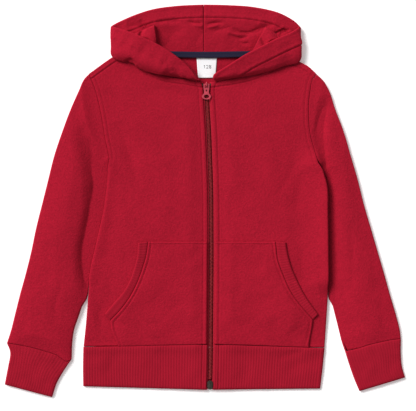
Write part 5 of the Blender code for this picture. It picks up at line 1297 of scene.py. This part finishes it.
class Finish:
    """A material in the making: its nodes, its cloth or object coordinates, and its shader."""

    def __init__(self, name, **shader):
        self.material = bpy.data.materials.new(name)
        self.material.use_nodes = True
        self.tree = self.material.node_tree
        self.shader = self.tree.nodes["Principled BSDF"]
        for socket, value in shader.items():
            self.shader.inputs[socket.replace("_", " ")].default_value = value

    def node(self, kind, settings, inputs, output=0):
        """Adds a node with its settings and socket values or links, and returns one output."""
        made = self.tree.nodes.new(kind)
        for setting, value in settings.items():
            setattr(made, setting, value)
        for socket, value in inputs.items():
            if isinstance(value, Value):
                self.tree.links.new(value.socket, made.inputs[socket])
            else:
                made.inputs[socket].default_value = value
        return Value(self, made.outputs[output])

    def coordinates(self, kind="UV"):
        return self.node("ShaderNodeTexCoord", {}, {}, kind)

    def split(self, vector):
        made = self.node("ShaderNodeSeparateXYZ", {}, {"Vector": vector}).socket.node
        return [Value(self, socket) for socket in made.outputs]

    def noise(self, vector, scale, detail=2.0, roughness=0.5, distortion=0.0):
        return self.node("ShaderNodeTexNoise", {}, {"Vector": vector, "Scale": scale, "Detail": detail,
                                                    "Roughness": roughness, "Distortion": distortion})

    def blend(self, share, first, second):
        """Mixes two colours, or a colour with one."""
        mix = self.tree.nodes.new("ShaderNodeMix")
        mix.data_type = "RGBA"
        for number, value in ((0, share), (6, first), (7, second)):
            if isinstance(value, Value):
                self.tree.links.new(value.socket, mix.inputs[number])
            else:
                mix.inputs[number].default_value = value if number == 0 else (*value, 1.0)
        return Value(self, mix.outputs[2])

    def put(self, socket, value):
        self.tree.links.new(value.socket, self.shader.inputs[socket])

    def done(self, colour, roughness, *layers):
        """Links colour and roughness, chains Bump nodes, each (height, distance in metres, strength), into
        the shader's normal, and returns the material."""
        self.put("Base Color", colour)
        self.put("Roughness", roughness)
        normal = None
        for height, distance, strength in layers:
            inputs = {"Height": height, "Distance": distance, "Strength": strength}
            if normal is not None:
                inputs["Normal"] = normal
            normal = self.node("ShaderNodeBump", {}, inputs)
        self.put("Normal", normal)
        return self.material


def tint(colour, amount):
    """A colour made lighter or darker by a factor."""
    return tuple(min(1.0, c * amount) for c in colour)


def knit_height(finish, uv, wale, course):
    """Height of plain knit: columns of leaning V loops. With a the distance from a column's middle,
    (1 - a * a) * (0.62 + 0.38 * sine of the course number plus half of a)."""
    across, along, _ = finish.split(uv)
    a = ((across * (1.0 / wale)).fraction() - 0.5).size() * 2.0
    loop = ((along * (2 * math.pi / course)) + a * math.pi).sine()
    return (1.0 - a * a) * (loop * 0.38 + 0.62)


def fleece(name, colour, wale=0.0011):
    """Cotton fleece: small knit loops under a short nap, cloudy dyeing, and lighter lint on high spots."""
    finish = Finish(name, Specular_IOR_Level=0.1, Sheen_Weight=0.06, Sheen_Roughness=0.5,
                    Sheen_Tint=(1.0, 0.25, 0.3, 1.0))
    uv, place = finish.coordinates(), finish.coordinates("Object")
    loops = knit_height(finish, uv, wale, wale * 0.85)
    fuzz = finish.noise(place, 900.0, 3.0, 0.6)
    clump = finish.noise(place, 330.0, 3.0, 0.6, 0.4)
    cloud = finish.noise(place, 26.0, 3.0, 0.55)
    lint = ((clump - 0.5) * 2.6 + (fuzz - 0.5) * 1.6 + 0.5) + (loops - 0.6) * 0.25
    base = finish.blend(cloud * 1.4 - 0.2, tint(colour, 0.90), tint(colour, 1.08))
    return finish.done(finish.blend(lint * 0.5, base, tint(colour, 1.4)), clump * 0.2 + 0.78,
                       (loops, 0.00022, 0.5), (clump * 0.7 + fuzz * 0.3, 0.0012, 0.9))


def rib_knit(name, colour, wale=0.0010):
    """Rib knit: fine loops on every rib, cloudy in tone, a smoother nap than fleece."""
    finish = Finish(name, Specular_IOR_Level=0.1, Sheen_Weight=0.08, Sheen_Roughness=0.5,
                    Sheen_Tint=(1.0, 0.25, 0.3, 1.0))
    uv, place = finish.coordinates(), finish.coordinates("Object")
    loops = knit_height(finish, uv, wale, wale)
    fuzz = finish.noise(place, 700.0, 3.0, 0.6)
    cloud = finish.noise(place, 40.0, 2.0, 0.5)
    base = finish.blend(cloud, tint(colour, 0.92), tint(colour, 1.08))
    return finish.done(finish.blend((fuzz - 0.35) * 0.6 + loops * 0.1, base, tint(colour, 1.25)),
                       fuzz * 0.16 + 0.78, (loops, 0.0003, 0.6), (fuzz, 0.0004, 0.5))


def twill(name, colour, pitch):
    """Woven tape: a herringbone of slanting ridges that turn back half way across, over fine threads."""
    finish = Finish(name, Specular_IOR_Level=0.25, Sheen_Weight=0.05)
    uv, place = finish.coordinates(), finish.coordinates("Object")
    across, along, _ = finish.split(uv)
    turned = ((along * (1.0 / (8 * pitch))).fraction() - 0.5).size() * (8 * pitch)
    ridge = (across + turned).wave(pitch) * 0.5 + 0.5
    thread = finish.noise(place, 1200.0, 2.0, 0.6)
    return finish.done(finish.blend(ridge * 0.5 + thread * 0.5, tint(colour, 0.75), tint(colour, 1.35)),
                       thread * 0.2 + 0.65, (ridge, 0.0002, 0.6), (thread, 0.0001, 0.4))


def thread_finish(name, colour):
    """Sewing thread: two strands twisted together, with a faint gloss."""
    finish = Finish(name, Specular_IOR_Level=0.2)
    place = finish.coordinates("Object")
    x, y, _ = finish.split(place)
    twist = (x + y).wave(0.0006) * 0.5 + 0.5
    cloud = finish.noise(place, 60.0)
    return finish.done(finish.blend(twist * 0.4 + cloud * 0.6, tint(colour, 0.8), tint(colour, 1.3)),
                       twist * 0.2 + 0.5, (twist, 0.00008, 0.5))


def label_cloth(name):
    """White woven label: fine crossed ribs with a satin gloss and a faint cloudy greyness."""
    finish = Finish(name, Specular_IOR_Level=0.3, Sheen_Weight=0.05)
    uv, place = finish.coordinates(), finish.coordinates("Object")
    across, along, _ = finish.split(uv)
    weave = across.wave(0.0005) * along.wave(0.0005) * 0.5 + 0.5
    cloud = finish.noise(place, 70.0, 3.0)
    return finish.done(finish.blend(cloud * 0.7 + weave * 0.3, (0.84, 0.84, 0.85), (0.90, 0.90, 0.91)),
                       weave * 0.15 + 0.5, (weave, 0.00006, 0.5), (cloud, 0.0006, 0.3))


def painted_metal(name, colour):
    """Cast metal under glossy paint: slight unevenness, and worn spots where bare metal shows."""
    finish = Finish(name, Coat_Weight=0.4, Coat_Roughness=0.15)
    place = finish.coordinates("Object")
    spots = finish.noise(place, 420.0, 4.0, 0.65)
    worn = finish.node("ShaderNodeMapRange", {}, {"Value": spots, "From Min": 0.62, "From Max": 0.72})
    cloud = finish.noise(place, 160.0, 2.0)
    paint = finish.blend(cloud, tint(colour, 0.8), tint(colour, 1.2))
    finish.put("Metallic", worn * 0.6 + 0.3)
    return finish.done(finish.blend(worn * 0.7, paint, (0.45, 0.36, 0.35)), cloud * 0.15 + worn * 0.15 + 0.22,
                       (cloud, 0.0002, 0.4), (worn, 0.00005, 0.5))


def dark_metal(name, dark, light):
    """Antiqued zip metal: dark, rubbed brighter in patches, finely scratched."""
    finish = Finish(name, Metallic=0.8)
    place = finish.coordinates("Object")
    rubbed = finish.noise(place, 520.0, 4.0, 0.6)
    scratch = finish.noise(finish.node("ShaderNodeMapping", {}, {"Vector": place, "Scale": (1.0, 0.12, 1.0)}),
                           2600.0, 2.0)
    return finish.done(finish.blend(rubbed * 1.6 - 0.35, dark, light), rubbed * 0.2 + scratch * 0.15 + 0.25,
                       (rubbed, 0.0001, 0.5), (scratch, 0.00004, 0.4))


def moulded(name, dark, light):
    """Moulded nylon teeth: slightly glossy, cloudy, with fine flow marks."""
    finish = Finish(name, Specular_IOR_Level=0.35)
    place = finish.coordinates("Object")
    cloud = finish.noise(place, 240.0, 3.0, 0.6)
    flow = finish.noise(place, 1500.0, 2.0)
    return finish.done(finish.blend(cloud * 1.4 - 0.2, dark, light), flow * 0.2 + 0.3,
                       (flow, 0.00006, 0.5), (cloud, 0.0002, 0.3))


def floor_finish():
    """Matt pale studio floor that glows faintly, with a barely seen cloudiness."""
    finish = Finish("studio_floor", Roughness=0.9, Specular_IOR_Level=0.1, Emission_Strength=FLOOR_GLOW)
    cloud = finish.noise(finish.coordinates("Object"), 2.0)
    finish.put("Base Color", finish.blend(cloud, (0.90, 0.902, 0.905), (0.91, 0.912, 0.915)))
    return finish.material


def on_front(plan, edges):
    """Points just under the outer face of a front, for its stitches."""
    x, y = plan[:, 0], plan[:, 1]
    return at_height(plan, front_under(x, y) + front_rise(x, y, edges) + 0.12)


def beside(line, distance):
    """The line moved sideways to its right hand, in plan."""
    return line + distance * right_of(line)


def front_stitches(name, sign, edges, surface):
    """Top-stitching of a front: beside the zip, inside the armhole and under the neck seam."""
    _, top, inner, outer = edges
    mouth = inner[(inner[:, 1] < 171.0) & (inner[:, 1] > -212.0)]
    rows = (mouth, sign * ZIP_STITCH), (outer[130:-3], -sign * 6.0), (top[8:70], sign * 5.0)
    return stitches(name, [on_front(beside(*row), edges) for row in rows], surface)


def pocket_stitches(name, seam, side, sign, surface):
    """Stitches across a pocket's top and beside its rib seam and its side."""
    top_y = POCKET_HIGH - 3.6
    x = np.linspace(float(zip_x(top_y)) + sign * 10.0, seam[0][0] - sign * 5.0, 60)
    curved = np.vstack((line_at(seam, np.linspace(0.03, 1, 80)), line_at(side, np.linspace(0.04, 0.9, 30))))
    paths = [at_height(line, pocket_base(line[:, 0], line[:, 1]) + FLEECE)
             for line in (pairs(x, top_y), beside(curved, 4.6 * sign))]
    return stitches(name, paths, surface)


def zip_band_stitches(surface):
    """The zip's top-stitching across the waistband."""
    paths = []
    for sign in (-1, 1):
        y = np.linspace(-280.0, -218.0, 60)
        x = zip_x(y) + sign * (ZIP_HALF_OPEN + ZIP_STITCH)
        paths.append(at_height(pairs(x, y), front_low(x, y) + HEM_FRONT_GAP + RIB_WALL - 0.2))
    return stitches("waistband_stitches", paths, surface)


def hood_stitches(name, table, surface):
    """The hood hem's row of stitches, its band's width in from the face opening."""
    rows = np.linspace(0.4, len(table) - 1, 260)
    middle, normal, to_edge = hood_surface(table, rows)
    number = np.argmin(np.abs(to_edge - HOOD_BAND), axis=1)
    row = np.arange(len(rows))
    side = np.where(rows < FLAP_ROWS - 1.0, -1.0, 1.0)[:, None]
    path = middle[row, number] + side * normal[row, number] * (HOOD_HALF_WALL - 0.25)
    return stitches(name, [path[5:]], surface)


RED = (0.392, 0.0170, 0.0440)
RIB_RED = (0.390, 0.0178, 0.0445)
NAVY = (0.030, 0.027, 0.062)
THREAD_RED = (0.40, 0.018, 0.045)

fleece_red = fleece("fleece_red", RED)
rib_red = rib_knit("rib_knit_red", RIB_RED)
tape_navy = twill("neck_tape_twill_navy", NAVY, 0.0012)
tape_red = twill("zip_tape_red", (0.56, 0.034, 0.070), 0.0009)
label_white = label_cloth("label_woven_white")
thread_red = thread_finish("thread_red", THREAD_RED)
thread_grey = thread_finish("thread_grey", (0.045, 0.045, 0.055))
paint_red = painted_metal("zip_paint_red", (0.64, 0.105, 0.150))
teeth_red = moulded("zip_teeth_red", (0.21, 0.014, 0.021), (0.40, 0.042, 0.052))
stop_metal = dark_metal("zip_stops_dark", (0.03, 0.028, 0.022), (0.22, 0.19, 0.16))

made = {"back": back_panel(fleece_red)}


def make(maker, name, *values):
    """Makes a piece and keeps it under its name."""
    made[name] = maker(name, *values)


for side, sign, hem, edge, armhole, neck, shoulder in (
        ("left", -1, HEM_SEAM_LEFT, SIDE_LEFT, ARMHOLE_LEFT, NECK_LEFT, SHOULDER_LEFT),
        ("right", 1, HEM_SEAM_RIGHT, SIDE_RIGHT, ARMHOLE_RIGHT, NECK_RIGHT, SHOULDER_RIGHT)):
    edges = front_edges(sign, hem, edge, armhole, neck, shoulder)
    make(front, "front_" + side, sign, edges, edge, fleece_red)
    make(front_stitches, "front_stitches_" + side, sign, edges, thread_red)
make(sleeve, "sleeve_left", SLEEVE_LEFT_INNER, SLEEVE_LEFT_OUTER, ARMHOLE_LEFT, CUFF_SEAM_LEFT, SIDE_LEFT,
     SLEEVE_LEFT_CREASES, SLEEVE_LEFT_STEPS, (6.0, 6.0, 5.6, 0.6, 2.2), (2.0, 2.0), fleece_red)
make(sleeve, "sleeve_right", SLEEVE_RIGHT_INNER, SLEEVE_RIGHT_OUTER, ARMHOLE_RIGHT, CUFF_SEAM_RIGHT,
     SIDE_RIGHT, SLEEVE_RIGHT_CREASES, (), (2.4, 6.2, 4.6, 1.4, 1.0), (13.0, 2.0), fleece_red)
make(cuff, "cuff_left", CUFF_LEFT_ROWS, CUFF_SEAM_LEFT, rib_red)
make(cuff, "cuff_right", CUFF_RIGHT_ROWS, CUFF_SEAM_RIGHT, rib_red)
made["hem_rib"] = hem_rib(rib_red)
for side, sign, seam, pocket_side, edge, hem in (
        ("left", -1, POCKET_SEAM_LEFT, POCKET_SIDE_LEFT, BINDING_EDGE_LEFT, HEM_SEAM_LEFT),
        ("right", 1, POCKET_SEAM_RIGHT, POCKET_SIDE_RIGHT, BINDING_EDGE_RIGHT, HEM_SEAM_RIGHT)):
    make(pocket, "pocket_" + side, seam, pocket_side, hem, sign, fleece_red)
    make(binding, "pocket_rib_" + side, seam, edge, rib_red)
    make(pocket_stitches, "pocket_stitches_" + side, seam, pocket_side, sign, thread_red)
for side, number, table, bunch in (("left", 0, HOOD_LEFT, SLACK_LEFT),
                                   ("right", 1, HOOD_RIGHT, SLACK_RIGHT)):
    make(hood_half, "hood_" + side, table, number, fleece_red)
    make(slack, "hood_slack_" + side, table, bunch, SLACK_FOLDS[number], fleece_red)
    make(hood_stitches, "hood_stitches_" + side, table, thread_red)
made["hood_crown"] = crown_heap(fleece_red)
made["neck_tape"] = neck_tape(tape_navy)
made["neck_label"] = neck_label(label_white)
for side, sign in (("left", -1), ("right", 1)):
    made["zip_tape_" + side] = zip_tape(side, sign, tape_red)
made["zip_chain"] = zip_teeth(teeth_red)
made["waistband_stitches"] = zip_band_stitches(thread_red)
made["label_size_number"] = size_number(thread_grey)

for node, finish in (("zip_slider", paint_red), ("zip_pull", paint_red), ("zip_top_stop_left", stop_metal),
                     ("zip_top_stop_right", stop_metal), ("zip_box", stop_metal)):
    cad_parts[node].material_slots[0].material = finish


def studio():
    """A pale floor, a broad soft key from the upper left, and even light all round."""
    mesh = bpy.data.meshes.new("studio_floor")
    corners = [(x * FLOOR_HALF, y * FLOOR_HALF, 0) for x, y in ((-1, -1), (1, -1), (1, 1), (-1, 1))]
    mesh.from_pydata(corners, [], [(0, 1, 2, 3)])
    mesh.materials.append(floor_finish())
    floor = placed("studio_floor", mesh)
    floor.location = (0, 0, -FLOOR_AIR)
    key = bpy.data.lights.new("key", "SUN")
    key.energy = KEY_STRENGTH
    key.angle = math.radians(KEY_SPREAD)
    placed("key", key).rotation_euler = Vector(KEY_FROM).to_track_quat("Z", "Y").to_euler()
    world = bpy.data.worlds.new("studio")
    world.use_nodes = True
    sky = world.node_tree.nodes["Background"]
    sky.inputs["Color"].default_value = (1.0, 1.0, 1.0, 1.0)
    sky.inputs["Strength"].default_value = FILL_STRENGTH
    bpy.context.scene.world = world


def camera():
    """A long lens straight above the garment, the top of its view towards the hood."""
    lens = bpy.data.cameras.new("camera")
    lens.sensor_width = SENSOR
    lens.lens = SENSOR * CAMERA_HEIGHT / VIEW_WIDTH
    bpy.context.scene.camera = placed("camera", lens)
    bpy.context.scene.camera.location = (*CENTRE, CAMERA_HEIGHT + CLOTH_TOP)


bpy.context.scene.view_settings.view_transform = "Standard"
bpy.context.scene.view_settings.gamma = GAMMA
studio()
camera()
